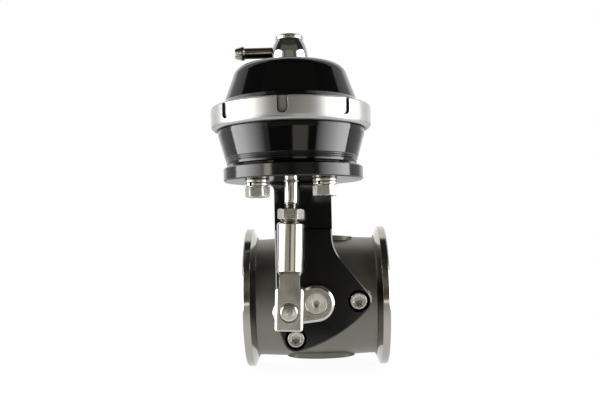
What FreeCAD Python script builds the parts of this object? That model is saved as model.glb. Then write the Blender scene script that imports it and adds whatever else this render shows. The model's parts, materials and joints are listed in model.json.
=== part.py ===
"""In-line butterfly wastegate with a diaphragm actuator, built piece by piece.

Millimetres, +Z up.  The origin is the middle of the pipe axis.  The pipe runs along X,
the lever side faces -Y, and the actuator stands above the body on its bracket.
Pieces on the lever side are drawn in a front view (x, z) and pushed out along h, the
distance in front of the pipe axis, so that h is -Y.  Pieces on the pushrod are drawn
about the clevis pin, with the rod along their own +Z, and then leaned over with it.
"""
import FreeCAD, Part

import math
import os

# ---------------------------------------------------------------- driving dimensions

# Pipe, valve body and its V-band flanges
BORE_R = 25.0
BODY_WALL = 5.6
BARREL_CROWN = 0.8
FACE_TO_FACE = 73.2
FLANGE_RISE = 5.9
FLANGE_RIM = 3.7
CLAMP_SLOPE = 23.0
BOSS_RISE = 3.9
REAR_BOSS_R = 13.0
PAD_LENGTH = 36.0
PAD_WIDTH = 22.0
PAD_RISE = 0.8
PAD_ROUND = 8.0
PAD_SHIFT = 1.9

# Butterfly and its shaft
DISC_GAP = 0.25
DISC_THICK = 3.0
SHAFT_R = 4.75
SHAFT_COLLAR_PLAY = 0.5
SHAFT_COLLAR_LENGTH = 5.0
DRIVE_R = 4.0
DRIVE_FLAT = 3.2
DRIVE_LENGTH = 2.0
BUSH_R = 7.0
BUSH_SETBACK = 0.3
SEAL_R = 8.0
SEAL_DEPTH = 2.0
THRUST_R = 7.5
THRUST_THICK = 1.0
REAR_PLUG_R = 8.0
REAR_PLUG_HEAD_R = 10.5
REAR_PLUG_HEAD = 2.4
REAR_PLUG_DEPTH = 2.6
DISC_SCREW_SPACING = 22.0
DISC_SCREW_SEAT = 3.6
DISC_SCREW_LENGTH = 8.0

# Bracket: lower plate, neck and round top plate
PLATE_THICK = 10.0
LUG_CIRCLE_R = 20.4
LUG_R = 6.2
LUG_EDGE_R = 70.0
BOSS_LUG_R = 6.9
NECK_WIDTH = 27.8
NECK_CENTRE_X = -5.5
NECK_SETBACK = 2.0
NECK_STEP_Z = 35.2
NECK_FILLET = 4.0
SHOULDER_ANGLE = 38.0
SHOULDER_R = 18.0
HEEL_ANGLE = 200.0
HEEL_R = 12.0
TOP_PLATE_R = 33.0
TOP_PLATE_SHIFT = 0.6
TOP_PLATE_Z = 57.8
TOP_PLATE_THICK = 6.4
EDGE_BREAK = 0.6

# Lever
LEVER_THICK = 5.0
LEVER_HUB_R = 8.5
LEVER_TIP_R = 6.0
LEVER_TIP_REACH = 15.1
LEVER_CHAMFER = 1.1

# Pushrod line, clevis and travel
ROD_OFFSET = 12.6
ROD_LEAN = 2.08
PIN_START = -4.06
STROKE = 12.0
TURN = 50.1
ROD_R = 3.175
CLEVIS_WIDTH = 13.0
CLEVIS_DEPTH = 12.7
CLEVIS_CORNER_R = 8.42
CLEVIS_ARCH = 3.8
CLEVIS_FOOT_BREAK = 0.6
CLEVIS_BELOW_PIN = 8.7
FORK_ABOVE_PIN = 11.0
CLEVIS_NECK_WIDTH = 9.5
CLEVIS_BOSS_R = 6.5
CLEVIS_BOSS_FROM = 19.0
CLEVIS_SLOT_TOP = 12.8
ROD_SOCKET_DEPTH = 18.0
PIN_R = 4.0
PIN_HEAD_R = 4.3
PIN_HEAD_SINK = 1.2
PIN_DOME = 0.6
JAM_NUT_AF = 11.1
JAM_NUT_HEIGHT = 5.3
JAM_NUT_FACE_R = 5.2
JAM_NUT_FACE = 1.3
NUT_CLEARANCE = 1.0

# Actuator: housing, cap, collar
HOUSING_RECESS = 1.3
HOUSING_RECESS_R = 28.0
HOUSING_FOOT_R = 30.7
HOUSING_BAND_R = 34.7
HOUSING_CONE = 14.0
HOUSING_BAND = 6.2
HOUSING_FLOOR = 5.5
HOUSING_WALL = 4.6
GROOVE_COUNT = 3
GROOVE_PITCH = 0.85
GROOVE_DEPTH = 0.25
COLLAR_R = 37.9
COLLAR_DROP = 3.9
COLLAR_HEIGHT = 10.55
COLLAR_ROUND = 2.4
COLLAR_SLOTS = 8
COLLAR_SLOT_TURN = -3.8
COLLAR_SLOT_WIDTH = 4.9
COLLAR_SLOT_DEPTH = 1.2
COLLAR_SLOT_FOOT = 2.85
CAP_FLANGE = 3.1
CAP_SHOULDER_R = 33.2
CAP_SHOULDER = 3.6
CAP_FOOT_R = 31.5
CAP_WAIST_R = 26.9
CAP_CONE = 12.8
CAP_CROWN_R = 6.0
CAP_CROWN_RISE = 0.8
CAP_WALL = 3.0

# Diaphragm, piston and springs
DIAPHRAGM_THICK = 1.3
DIAPHRAGM_HUB_R = 23.5
DIAPHRAGM_ROLL_R = 28.5
PISTON_R = 22.0
PISTON_PLATE = 2.0
PISTON_FLOOR_GAP = 1.3
PISTON_RIM = 3.5
PISTON_NUT_AF = 10.0
PISTON_NUT_HEIGHT = 5.0
OUTER_SPRING_R = 17.5
OUTER_WIRE_R = 1.4
OUTER_TURNS = 5.0
INNER_SPRING_R = 11.5
INNER_WIRE_R = 1.1
INNER_TURNS = 6.0
SPRING_STATIONS = 10

# Rod guide
ROD_BUSH_R = 6.5
ROD_BUSH_STEP = 1.6
ROD_BUSH_NOSE_R = 3.8
ROD_BUSH_NOSE = 0.4
ROD_SEAL_R = 6.5

# Hose fittings
FITTING_BASE_R = 8.6
FITTING_R = 9.2
FITTING_NECK_R = 7.0
FITTING_HEIGHT = 11.0
BANJO_HEAD_R = 6.8
BANJO_HEAD = 2.3
BANJO_CROWN = 0.9
BANJO_R = 5.0
BANJO_BORE_R = 2.5
SEAL_WASHER = 0.7
BARB_HEIGHT = 5.4
BARB_REACH = 26.0
BARB_SHANK_R = 2.65
BARB_CREST_R = 3.4
BARB_TIP_R = 2.45
BARB_LAND = 0.7
BARB_TAPER = 3.4
BARB_BORE_R = 1.5
LOWER_PORT_HEX = 11.0
LOWER_PORT_HEX_LENGTH = 5.0
LOWER_PORT_R = 4.6
LOWER_PORT_REACH = 20.0

# Screws: radius, head radius, head height, socket across flats
M4 = (2.0, 3.5, 1.8, 2.5)
M5_CAP = (2.5, 4.25, 5.0, 4.0)
M5_SUNK = (2.5, 5.0, 2.5, 3.0)
M6_SUNK = (3.0, 6.0, 3.0, 4.0)
M6_HEX_R = 3.0
M6_HEX_AF = 10.0
M6_HEX_HEAD = 4.0
M6_REACH = 4.4
WASHER_R = 5.6
WASHER_THICK = 1.6
HOUSING_BOLT_R = 22.4
HOUSING_BOLT_ANGLES = (-43.4, 43.4)
HOUSING_BOLT_TWIST = (-10.0, 22.0)
BRACKET_SCREW_LENGTH = 12.0

# Small flat left at the middle of a turned dome
TURNING_FLAT_R = 0.4

# Fits: radial gaps and the play left between faces that slide past each other
RUN_FIT = 0.05
SEAT_FIT = 0.02
FACE_PLAY = 0.2
DRILL_EXTRA = 0.5

# ---------------------------------------------------------------- derived places

V = FreeCAD.Vector
Z_AXIS = V(0, 0, 1)

TUBE_R = BORE_R + BODY_WALL
BARREL_R = TUBE_R + BARREL_CROWN
FLANGE_R = TUBE_R + FLANGE_RISE
BOSS_FACE = BARREL_R + BOSS_RISE
PLATE_FACE = BOSS_FACE + PLATE_THICK
REAR_FACE = BOSS_FACE + FACE_PLAY
COLLAR_START = PLATE_FACE + THRUST_THICK + FACE_PLAY
SHAFT_COLLAR_R = ROD_OFFSET - CLEVIS_WIDTH / 2 - SHAFT_COLLAR_PLAY
LEVER_BACK = COLLAR_START + SHAFT_COLLAR_LENGTH
LEVER_FACE = LEVER_BACK + LEVER_THICK
ROD_PLANE = LEVER_BACK + LEVER_THICK / 2
BUSH_INNER_END = BORE_R + BUSH_SETBACK
REAR_SEAT = REAR_FACE - REAR_PLUG_DEPTH

LEAN = math.radians(ROD_LEAN)
ROD_DIRECTION = V(math.sin(LEAN), 0, math.cos(LEAN))
ROD_FOOT = V(-ROD_OFFSET * math.cos(LEAN), -ROD_PLANE, ROD_OFFSET * math.sin(LEAN))
PIN_AT_REST = ROD_FOOT + ROD_DIRECTION * PIN_START
PIN_ANGLE = math.degrees(math.atan2(PIN_AT_REST.z, PIN_AT_REST.x))

TOP_PLATE_TOP = TOP_PLATE_Z + TOP_PLATE_THICK
HOUSING_FOOT_Z = TOP_PLATE_TOP + HOUSING_RECESS
HOUSING_EDGE_Z = HOUSING_FOOT_Z + HOUSING_CONE
CLAMP_Z = HOUSING_EDGE_Z + HOUSING_BAND
FLOOR_Z = TOP_PLATE_TOP + HOUSING_FLOOR
CAP_Z = CLAMP_Z + DIAPHRAGM_THICK
CAP_FLANGE_TOP = CAP_Z + CAP_FLANGE
COLLAR_Z = CLAMP_Z - COLLAR_DROP
COLLAR_TOP = COLLAR_Z + COLLAR_HEIGHT
CAP_SHOULDER_TOP = CAP_FLANGE_TOP + CAP_SHOULDER
CAP_CONE_Z = CAP_SHOULDER_TOP + (CAP_SHOULDER_R - CAP_FOOT_R)
CAP_WAIST_Z = CAP_CONE_Z + CAP_CONE
CAP_TOP = CAP_WAIST_Z + CAP_CROWN_R * 0.72
CAP_CENTRE_TOP = CAP_TOP + CAP_CROWN_RISE
CAP_CEILING = CAP_TOP - CAP_WALL
FITTING_Z = CAP_CENTRE_TOP + SEAL_WASHER
NUT_TOP_Z = TOP_PLATE_Z - STROKE - NUT_CLEARANCE


def height_on_rod(z):
    """Distance along the rod from the clevis pin at rest to the level z."""
    return (z - PIN_AT_REST.z) / math.cos(LEAN)


NUT_TOP = height_on_rod(NUT_TOP_Z)
CLEVIS_TOP = NUT_TOP - JAM_NUT_HEIGHT - JAM_NUT_FACE
PISTON_FOOT = height_on_rod(FLOOR_Z + PISTON_FLOOR_GAP)
HUB_FOOT = PISTON_FOOT + PISTON_PLATE
HUB_TOP = HUB_FOOT + DIAPHRAGM_THICK
ACTUATOR_X = PIN_AT_REST.x + (FLOOR_Z - PIN_AT_REST.z) * math.tan(LEAN)
ACTUATOR = V(ACTUATOR_X, -ROD_PLANE, 0)


# ---------------------------------------------------------------- drawing helpers

class Outline:
    """A closed plane outline, drawn edge by edge from a starting point."""

    def __init__(self, x, y):
        self.first = V(x, y, 0)
        self.here = self.first
        self.edges = []

    def line(self, x, y):
        """Straight edge to (x, y)."""
        point = V(x, y, 0)
        if point.distanceToPoint(self.here) > 1e-6:
            self.edges.append(Part.makeLine(self.here, point))
        self.here = point
        return self

    def arc(self, middle, end):
        """Arc through the point middle to the point end."""
        start, self.here = self.here, V(end[0], end[1], 0)
        self.edges.append(Part.Arc(start, V(middle[0], middle[1], 0), self.here).toShape())
        return self

    def swing(self, centre, angle_to, way):
        """Arc about a centre to an angle in degrees; way is +1 anticlockwise, -1 clockwise."""
        reach = self.here - V(centre[0], centre[1], 0)
        angle_from = math.degrees(math.atan2(reach.y, reach.x))
        span = (angle_to - angle_from) * way % 360.0
        halfway = polar(centre, reach.Length, angle_from + way * span / 2)
        return self.arc(halfway, polar(centre, reach.Length, angle_to))

    def corner(self, x, y, radius, towards):
        """Edge to the corner (x, y), rounded by radius, on the way to the point towards."""
        at = V(x, y, 0)
        back = (self.here - at).normalize()
        ahead = (V(towards[0], towards[1], 0) - at).normalize()
        half = back.getAngle(ahead) / 2
        run = radius / math.tan(half)
        centre = at + (back + ahead).normalize() * (radius / math.sin(half))
        start, end = at + back * run, at + ahead * run
        middle = centre + (at - centre).normalize() * radius
        self.line(start.x, start.y)
        return self.arc((middle.x, middle.y), (end.x, end.y))

    def dome(self, rise):
        """Spherical arc up to a small turning flat at the axis x = 0."""
        radius = (self.here.x ** 2 + rise ** 2) / (2 * rise)
        centre = (0, self.here.y + rise - radius)
        flat_angle = math.degrees(math.acos(TURNING_FLAT_R / radius))
        self.swing(centre, flat_angle, 1)
        return self.line(0, self.here.y)

    def face(self):
        """The closed outline as a face in the XY plane."""
        self.line(self.first.x, self.first.y)
        return Part.Face(Part.Wire(self.edges))


def polar(centre, radius, degrees):
    """The point at an angle and a radius from a centre."""
    angle = math.radians(degrees)
    return (centre[0] + radius * math.cos(angle), centre[1] + radius * math.sin(angle))


def polygon(points):
    """Outline of straight edges through the points."""
    outline = Outline(*points[0])
    for x, y in points[1:]:
        outline.line(x, y)
    return outline


def turned(outline):
    """Solid of revolution about Z; the outline's x is the radius and its y the height."""
    face = outline.face()
    face.rotate(V(0, 0, 0), V(1, 0, 0), 90)
    return face.revolve(V(0, 0, 0), Z_AXIS, 360)


def prism(outline, low, high):
    """The outline pushed up along Z from low to high."""
    solid = outline.face().extrude(V(0, 0, high - low))
    solid.translate(V(0, 0, low))
    return solid


def rod(radius, low, high, x=0.0, y=0.0):
    """Plain cylinder along Z from low to high."""
    return Part.makeCylinder(radius, high - low, V(x, y, low))


def ring(inner, outer, low, high, x=0.0, y=0.0):
    """Plain ring along Z from low to high."""
    return rod(outer, low, high, x, y).cut(rod(inner, low - 1, high + 1, x, y))


def hexagon(across_flats, twist=0.0):
    """Hexagon outline with flats facing +Y and -Y before its twist in degrees."""
    corner_r = across_flats / math.sqrt(3)
    return polygon([polar((0, 0), corner_r, 60 * side + twist) for side in range(6)])


def turn_copy(shape, degrees, axis=Z_AXIS):
    """A copy turned about an axis through the origin."""
    copy = shape.copy()
    copy.rotate(V(0, 0, 0), axis, degrees)
    return copy


def moved(shape, place):
    """A copy moved by a vector."""
    copy = shape.copy()
    copy.translate(place)
    return copy


def front(shape):
    """From the front view (x, z, h) to its place: h runs along -Y."""
    return turn_copy(shape, 90, V(1, 0, 0))


def on_actuator(shape):
    """From the actuator's own axis to its place above the bracket."""
    return moved(shape, ACTUATOR)


def on_rod(shape):
    """From the clevis pin's own frame to its place, leaned over with the rod."""
    return moved(turn_copy(shape, ROD_LEAN, V(0, 1, 0)), PIN_AT_REST)


def joined(shapes):
    """The shapes fused into one clean solid."""
    return shapes[0].multiFuse(shapes[1:]).removeSplitter()


def group(shapes):
    """Separate solids that share a node."""
    return Part.makeCompound(shapes)


# ---------------------------------------------------------------- fasteners

def socket(across_flats, depth, top):
    """Hexagon key socket, to be cut down from the height top."""
    return prism(hexagon(across_flats), top - depth, top + 1)


def cap_screw(size, length):
    """Socket head screw: head above z = 0, shank below it."""
    radius, head_r, head_height, key = size
    head = Outline(0, 0).line(head_r, 0).line(head_r, head_height - 0.4)
    head.line(head_r - 0.4, head_height).line(0, head_height)
    screw = joined([turned(head), rod(radius, -length, 0)])
    return screw.cut(socket(key, head_height * 0.5, head_height))


def sunk_screw(size, length):
    """Countersunk screw with its head's face at z = 0."""
    radius, head_r, head_height, key = size
    body = Outline(0, 0).line(head_r, 0).line(radius, radius - head_r)
    body.line(radius, -length).line(0, -length)
    return turned(body).cut(socket(key, head_height * 0.7, 0))


def sunk_hole(size, depth, spare):
    """The space of a countersunk screw, with room round its cone."""
    radius, head_r = size[0] + RUN_FIT, size[1] + spare
    body = Outline(0, 1).line(head_r, 1).line(head_r, 0).line(radius, radius - head_r)
    body.line(radius, -depth).line(0, -depth)
    return turned(body)


def faceted(across_flats, low, high, both_ends=False):
    """Hexagon from low to high with its corners turned off at the top, or at both ends."""
    flat_r, corner_r = across_flats / 2, across_flats / math.sqrt(3)
    drop = (corner_r - flat_r) * 0.6
    skin = Outline(0, low)
    if both_ends:
        skin.line(flat_r, low).line(corner_r, low + drop)
    else:
        skin.line(corner_r, low)
    skin.line(corner_r, high - drop).line(flat_r, high).line(0, high)
    return prism(hexagon(across_flats), low, high).common(turned(skin))


def hex_bolt(twist):
    """M6 bolt that points up: its head hangs below z = 0 and its shank rises above it."""
    reach = 2 * WASHER_THICK + TOP_PLATE_THICK + M6_REACH
    head = turn_copy(faceted(M6_HEX_AF, 0, M6_HEX_HEAD), 180, V(1, 0, 0))
    return joined([turn_copy(head, twist), rod(M6_HEX_R, 0, reach)])


# ---------------------------------------------------------------- valve body

def lug_centres():
    """Front-view centres of the three bracket screws about the shaft."""
    return [polar((0, 0), LUG_CIRCLE_R, 120 * index) for index in range(3)]


def barrel():
    """Turned outside of the body: two V-band flanges and a slightly crowned barrel."""
    end = FACE_TO_FACE / 2
    rim = end - FLANGE_RIM
    foot = rim - FLANGE_RISE * math.tan(math.radians(CLAMP_SLOPE))
    level = foot - 3.0
    half = Outline(-end, 0)
    half.line(-end, FLANGE_R - EDGE_BREAK).line(-end + EDGE_BREAK, FLANGE_R)
    half.line(-rim, FLANGE_R).line(-foot, TUBE_R)
    half.line(-level, TUBE_R).arc((0, BARREL_R), (level, TUBE_R))
    half.line(foot, TUBE_R).line(rim, FLANGE_R)
    half.line(end - EDGE_BREAK, FLANGE_R).line(end, FLANGE_R - EDGE_BREAK).line(end, 0)
    return half.face().revolve(V(0, 0, 0), V(1, 0, 0), 360)


def casting_pad():
    """Raised pad along the top of the barrel, crowned like the barrel below it."""
    half, top = PAD_LENGTH / 2, BARREL_R + PAD_RISE
    shoulder = top - 1.0
    side = Outline(-half, BORE_R + 2).corner(-half, shoulder, 0.8, (0, top))
    side.arc((0, top), (half - 0.8, shoulder)).line(half, shoulder - 0.8).line(half, BORE_R + 2)
    pad = moved(front(prism(side, 0, PAD_WIDTH)), V(0, PAD_WIDTH / 2, 0))
    plan_x, plan_y, round_r = half, PAD_WIDTH / 2, PAD_ROUND
    plan = Outline(0, -plan_y).corner(plan_x, -plan_y, round_r, (plan_x, 0))
    plan.corner(plan_x, plan_y, round_r, (0, plan_y)).corner(-plan_x, plan_y, round_r, (-plan_x, 0))
    plan.corner(-plan_x, -plan_y, round_r, (0, -plan_y))
    return moved(pad.common(prism(plan, 0, top + 1)), V(PAD_SHIFT, 0, 0))


def front_boss():
    """Three-cornered boss that the bracket bolts to."""
    right, upper, lower = lug_centres()
    outline = Outline(*polar(right, BOSS_LUG_R, -60))
    outline.swing(right, 60, 1).line(*polar(upper, BOSS_LUG_R, 60)).swing(upper, 180, 1)
    outline.line(*polar(lower, BOSS_LUG_R, 180)).swing(lower, -60, 1)
    return front(prism(outline, BORE_R * 0.6, BOSS_FACE))


def make_valve_body():
    """Cast stainless body, bored for the gas, the shaft, its bushes and the screws."""
    rear_boss = front(rod(REAR_BOSS_R, -REAR_FACE, -BORE_R * 0.6))
    pad = casting_pad()
    body = joined([barrel(), front_boss(), rear_boss, pad, turn_copy(pad, 180, V(1, 0, 0))])
    gas_way = Part.makeCylinder(BORE_R, FACE_TO_FACE + 2, V(-FACE_TO_FACE / 2 - 1, 0, 0), V(1, 0, 0))
    bush_seat = BUSH_R + SEAT_FIT
    cuts = [gas_way]
    cuts.append(front(rod(bush_seat, -REAR_FACE - 1, BOSS_FACE + 1)))
    cuts.append(front(rod(REAR_PLUG_R + SEAT_FIT, -REAR_FACE - 1, -REAR_SEAT)))
    screw_end = PLATE_FACE - M5_CAP[2] - FACE_PLAY - BRACKET_SCREW_LENGTH
    for x, z in lug_centres():
        cuts.append(front(rod(M5_CAP[0] + SEAT_FIT, screw_end - DRILL_EXTRA, BOSS_FACE + 1, x, z)))
    return body.cut(cuts)


# ---------------------------------------------------------------- butterfly

def make_butterfly_disc():
    """Flat disc that closes the bore, with two screw holes on the shaft line."""
    radius, half = BORE_R - DISC_GAP, DISC_THICK / 2
    edge = Outline(0, -half).line(radius - 0.3, -half).line(radius, -half + 0.3)
    edge.line(radius, half - 0.3).line(radius - 0.3, half).line(0, half)
    disc = turn_copy(turned(edge), 90, V(0, 1, 0))
    return disc.cut([disc_screw_hole(side) for side in (-1, 1)])


def disc_screw_hole(side):
    """Hole along X for a disc screw, on one side of the middle."""
    place = V(-SHAFT_R * 2, side * DISC_SCREW_SPACING / 2, 0)
    return Part.makeCylinder(M4[0] + RUN_FIT, SHAFT_R * 4, place, V(1, 0, 0))


def disc_screw_flat():
    """Flat milled along the shaft for the heads of both disc screws."""
    half = DISC_SCREW_SPACING / 2 + M4[1] + DRILL_EXTRA
    return Part.makeBox(SHAFT_R, 2 * half, 2 * SHAFT_R, V(-SHAFT_R - DISC_SCREW_SEAT, -half, -SHAFT_R))


def make_disc_screws():
    """Two M4 screws that clamp the disc in the shaft's slot."""
    seat = -DISC_SCREW_SEAT
    screws = []
    for side in (-1, 1):
        screw = turn_copy(cap_screw(M4, DISC_SCREW_LENGTH), -90, V(0, 1, 0))
        screws.append(moved(screw, V(seat, side * DISC_SCREW_SPACING / 2, 0)))
    return group(screws)


def make_butterfly_shaft():
    """Slotted shaft with a thrust collar and a two-flat drive for the lever."""
    drive_end = LEVER_BACK + DRIVE_LENGTH
    rear_end = -REAR_SEAT + FACE_PLAY
    shaft = joined([
        rod(SHAFT_R, rear_end, COLLAR_START),
        rod(SHAFT_COLLAR_R, COLLAR_START, LEVER_BACK),
        drive_flats(DRIVE_R, DRIVE_FLAT, LEVER_BACK, drive_end),
    ])
    slot_half = BORE_R - DISC_GAP + FACE_PLAY
    slot = Part.makeBox(DISC_THICK + 2 * RUN_FIT, 4 * SHAFT_R, 2 * slot_half)
    slot.translate(V(-DISC_THICK / 2 - RUN_FIT, -2 * SHAFT_R, -slot_half))
    tapped = rod(M5_SUNK[0] + SEAT_FIT, drive_end - 12.0, drive_end + 1)
    shaft = front(shaft.cut([slot, tapped]))
    return shaft.cut([disc_screw_flat()] + [disc_screw_hole(side) for side in (-1, 1)])


def drive_flats(radius, flat, low, high):
    """Round bar with two flats, as wide as flat on each side of its axis."""
    bar = Part.makeBox(2 * flat, 2 * radius, high - low, V(-flat, -radius, low))
    return turn_copy(rod(radius, low, high).common(bar), PIN_ANGLE)


def make_shaft_bushes():
    """Front and rear bushes that carry the shaft in the body."""
    bore = SHAFT_R + RUN_FIT
    front_bush = ring(bore, BUSH_R, BUSH_INNER_END, BOSS_FACE)
    rear_bush = ring(bore, BUSH_R, -REAR_SEAT, -BUSH_INNER_END)
    return group([front(front_bush), front(rear_bush)])


def make_shaft_seal():
    """Packing ring that the bracket presses round the shaft."""
    return front(ring(SHAFT_R + RUN_FIT, SEAL_R, BOSS_FACE, BOSS_FACE + SEAL_DEPTH))


def make_thrust_washer():
    """Washer between the bracket and the shaft's collar."""
    return front(ring(SHAFT_R + 2 * RUN_FIT, THRUST_R, PLATE_FACE, PLATE_FACE + THRUST_THICK))


def make_rear_plug():
    """Screwed plug that closes the rear end of the shaft bore."""
    outer = -REAR_FACE - REAR_PLUG_HEAD
    head = Outline(0, outer).line(REAR_PLUG_HEAD_R - 0.8, outer)
    head.line(REAR_PLUG_HEAD_R, outer + 0.8).line(REAR_PLUG_HEAD_R, -REAR_FACE).line(0, -REAR_FACE)
    plug = joined([turned(head), rod(REAR_PLUG_R, -REAR_FACE, -REAR_SEAT)])
    key = prism(hexagon(6.0), outer - 1, outer + 3.0)
    return front(plug.cut(key))


# ---------------------------------------------------------------- bracket

def bracket_outline():
    """Front view of the lower plate: neck sides, flared shoulder and three lugs."""
    left, right = NECK_CENTRE_X - NECK_WIDTH / 2, NECK_CENTRE_X + NECK_WIDTH / 2
    side_lug, _, lower_lug = lug_centres()
    shoulder = polar(side_lug, LUG_R, SHOULDER_ANGLE)
    slope = math.tan(math.radians(SHOULDER_ANGLE))
    shoulder_z = shoulder[1] + (shoulder[0] - right) / slope
    heel = polar(lower_lug, LUG_R, HEEL_ANGLE)
    heel_z = heel[1] + (heel[0] - left) / math.tan(math.radians(HEEL_ANGLE - 180))
    outline = Outline(left, NECK_STEP_Z).line(right, NECK_STEP_Z)
    outline.corner(right, shoulder_z, SHOULDER_R, shoulder).line(*shoulder)
    edge_centre = lower_edge_centre(side_lug, lower_lug)
    tangent_a = angle_from(edge_centre, side_lug)
    tangent_b = angle_from(edge_centre, lower_lug)
    outline.swing(side_lug, tangent_a, -1).swing(edge_centre, tangent_b, -1)
    outline.swing(lower_lug, HEEL_ANGLE, -1)
    outline.corner(left, heel_z, HEEL_R, (left, NECK_STEP_Z))
    return outline


def lower_edge_centre(first, second):
    """Centre of the flat arc that wraps both lugs from outside."""
    middle = ((first[0] + second[0]) / 2, (first[1] + second[1]) / 2)
    half = math.dist(first, second) / 2
    inward = angle_from(middle, (0, 0))
    return polar(middle, math.sqrt((LUG_EDGE_R - LUG_R) ** 2 - half ** 2), inward)


def angle_from(start, end):
    """Angle in degrees of the direction from start to end."""
    return math.degrees(math.atan2(end[1] - start[1], end[0] - start[0]))


def edges_at_height(shape, height, low, high):
    """Edges that lie in the plane z = height, inside an x and y window."""
    found = []
    for edge in shape.Edges:
        box = edge.BoundBox
        level = abs(box.ZMin - height) < 1e-4 and abs(box.ZMax - height) < 1e-4
        inside = box.XMin > low[0] and box.XMax < high[0] and box.YMin > low[1] and box.YMax < high[1]
        if level and inside:
            found.append(edge)
    return found


def make_bracket():
    """Lower plate, neck and round top plate, milled from one block."""
    left = NECK_CENTRE_X - NECK_WIDTH / 2
    plate = prism(bracket_outline(), BOSS_FACE, PLATE_FACE)
    plate = plate.makeChamfer(EDGE_BREAK, edges_at_height(plate, PLATE_FACE, (-99, -99), (99, 99)))
    neck_depth = PLATE_THICK - NECK_SETBACK
    neck = Part.makeBox(NECK_WIDTH, TOP_PLATE_Z - NECK_STEP_Z + 6, neck_depth)
    neck.translate(V(left, NECK_STEP_Z - 5, BOSS_FACE))
    top = Outline(0, TOP_PLATE_Z).line(TOP_PLATE_R - EDGE_BREAK, TOP_PLATE_Z)
    top.line(TOP_PLATE_R, TOP_PLATE_Z + EDGE_BREAK).line(TOP_PLATE_R, TOP_PLATE_TOP - EDGE_BREAK)
    top.line(TOP_PLATE_R - EDGE_BREAK, TOP_PLATE_TOP).line(0, TOP_PLATE_TOP)
    round_top = moved(turned(top), V(TOP_PLATE_SHIFT, 0, 0))
    block = joined([front(plate), front(neck), on_actuator(round_top)])
    reach = TOP_PLATE_R
    low = (left - 1, -PLATE_FACE)
    high = (left + NECK_WIDTH + 1, -BOSS_FACE + 1)
    root = edges_at_height(block, TOP_PLATE_Z, low, high)
    block = block.makeFillet(NECK_FILLET, root)
    cuts = [front(rod(SHAFT_R + 0.5, BOSS_FACE - 1, PLATE_FACE + 1))]
    cuts.append(front(rod(SEAL_R + RUN_FIT, BOSS_FACE - 1, BOSS_FACE + SEAL_DEPTH)))
    seat = PLATE_FACE - M5_CAP[2] - FACE_PLAY
    for x, z in lug_centres():
        cuts.append(front(rod(M5_CAP[0] + 0.25, BOSS_FACE - 1, PLATE_FACE + 1, x, z)))
        cuts.append(front(rod(M5_CAP[1] + 1.05, seat, PLATE_FACE + 1, x, z)))
    cuts.append(on_actuator(rod(ROD_BUSH_R + SEAT_FIT, TOP_PLATE_Z + ROD_BUSH_STEP, TOP_PLATE_TOP + 1)))
    cuts.append(rod(ROD_BUSH_NOSE_R + SEAT_FIT, TOP_PLATE_Z - 1, TOP_PLATE_TOP, nose_x(), -ROD_PLANE))
    for place in housing_bolt_places():
        cuts.append(moved(rod(M6_HEX_R + 0.3, -1, reach), place))
    cuts.append(moved(rod(M6_SUNK[0] + SEAT_FIT, -14.0, reach), neck_screw_place()))
    return block.cut(cuts)


def housing_bolt_places():
    """Points on the top plate's underside where the hex bolts pass."""
    spots = [polar((0, 0), HOUSING_BOLT_R, angle - 90) for angle in HOUSING_BOLT_ANGLES]
    return [ACTUATOR + V(x, y, TOP_PLATE_Z) for x, y in spots]


def neck_screw_place():
    """Point on the top plate's top face above the middle of the neck."""
    return V(ACTUATOR_X, -BOSS_FACE - (PLATE_THICK - NECK_SETBACK) / 2, TOP_PLATE_TOP)


def make_bracket_screws():
    """Three M5 screws that hold the bracket to the body, heads sunk in their lugs."""
    seat = PLATE_FACE - M5_CAP[2] - FACE_PLAY
    screw = moved(cap_screw(M5_CAP, BRACKET_SCREW_LENGTH), V(0, 0, seat))
    return group([front(moved(screw, V(x, z, 0))) for x, z in lug_centres()])


def make_housing_bolts():
    """Hex bolts that hold the actuator's housing down on the bracket."""
    drop = V(0, 0, -2 * WASHER_THICK)
    pairs = zip(housing_bolt_places(), HOUSING_BOLT_TWIST)
    return group([moved(hex_bolt(twist), place + drop) for place, twist in pairs])


def make_plain_washers():
    """Plain washers against the underside of the top plate."""
    washer = ring(M6_HEX_R + 0.2, WASHER_R, -WASHER_THICK, 0)
    return group([moved(washer, place) for place in housing_bolt_places()])


def make_spring_washers():
    """Split spring washers under the bolt heads."""
    washer = ring(M6_HEX_R + 0.1, WASHER_R - 0.1, -2 * WASHER_THICK, -WASHER_THICK)
    split = Part.makeBox(WASHER_R, 1.0, WASHER_THICK + 1, V(0, -0.5, -2 * WASHER_THICK - 0.5))
    washer = turn_copy(washer.cut(split), 60)
    return group([moved(washer, place) for place in housing_bolt_places()])


def make_neck_screw():
    """Countersunk M6 from inside the housing into the top of the neck."""
    place = neck_screw_place()
    return moved(sunk_screw(M6_SUNK, HOUSING_FLOOR + 13.0), V(place.x, place.y, FLOOR_Z))


# ---------------------------------------------------------------- lever

def lever_outline():
    """Teardrop: a hub round the shaft and a tip round the clevis pin."""
    tip = polar((0, 0), LEVER_TIP_REACH, PIN_ANGLE)
    splay = math.degrees(math.acos((LEVER_HUB_R - LEVER_TIP_R) / LEVER_TIP_REACH))
    start, end = PIN_ANGLE + splay, PIN_ANGLE - splay
    outline = Outline(*polar((0, 0), LEVER_HUB_R, start))
    outline.swing((0, 0), end, 1).line(*polar(tip, LEVER_TIP_R, end))
    return outline.swing(tip, start, 1)


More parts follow.
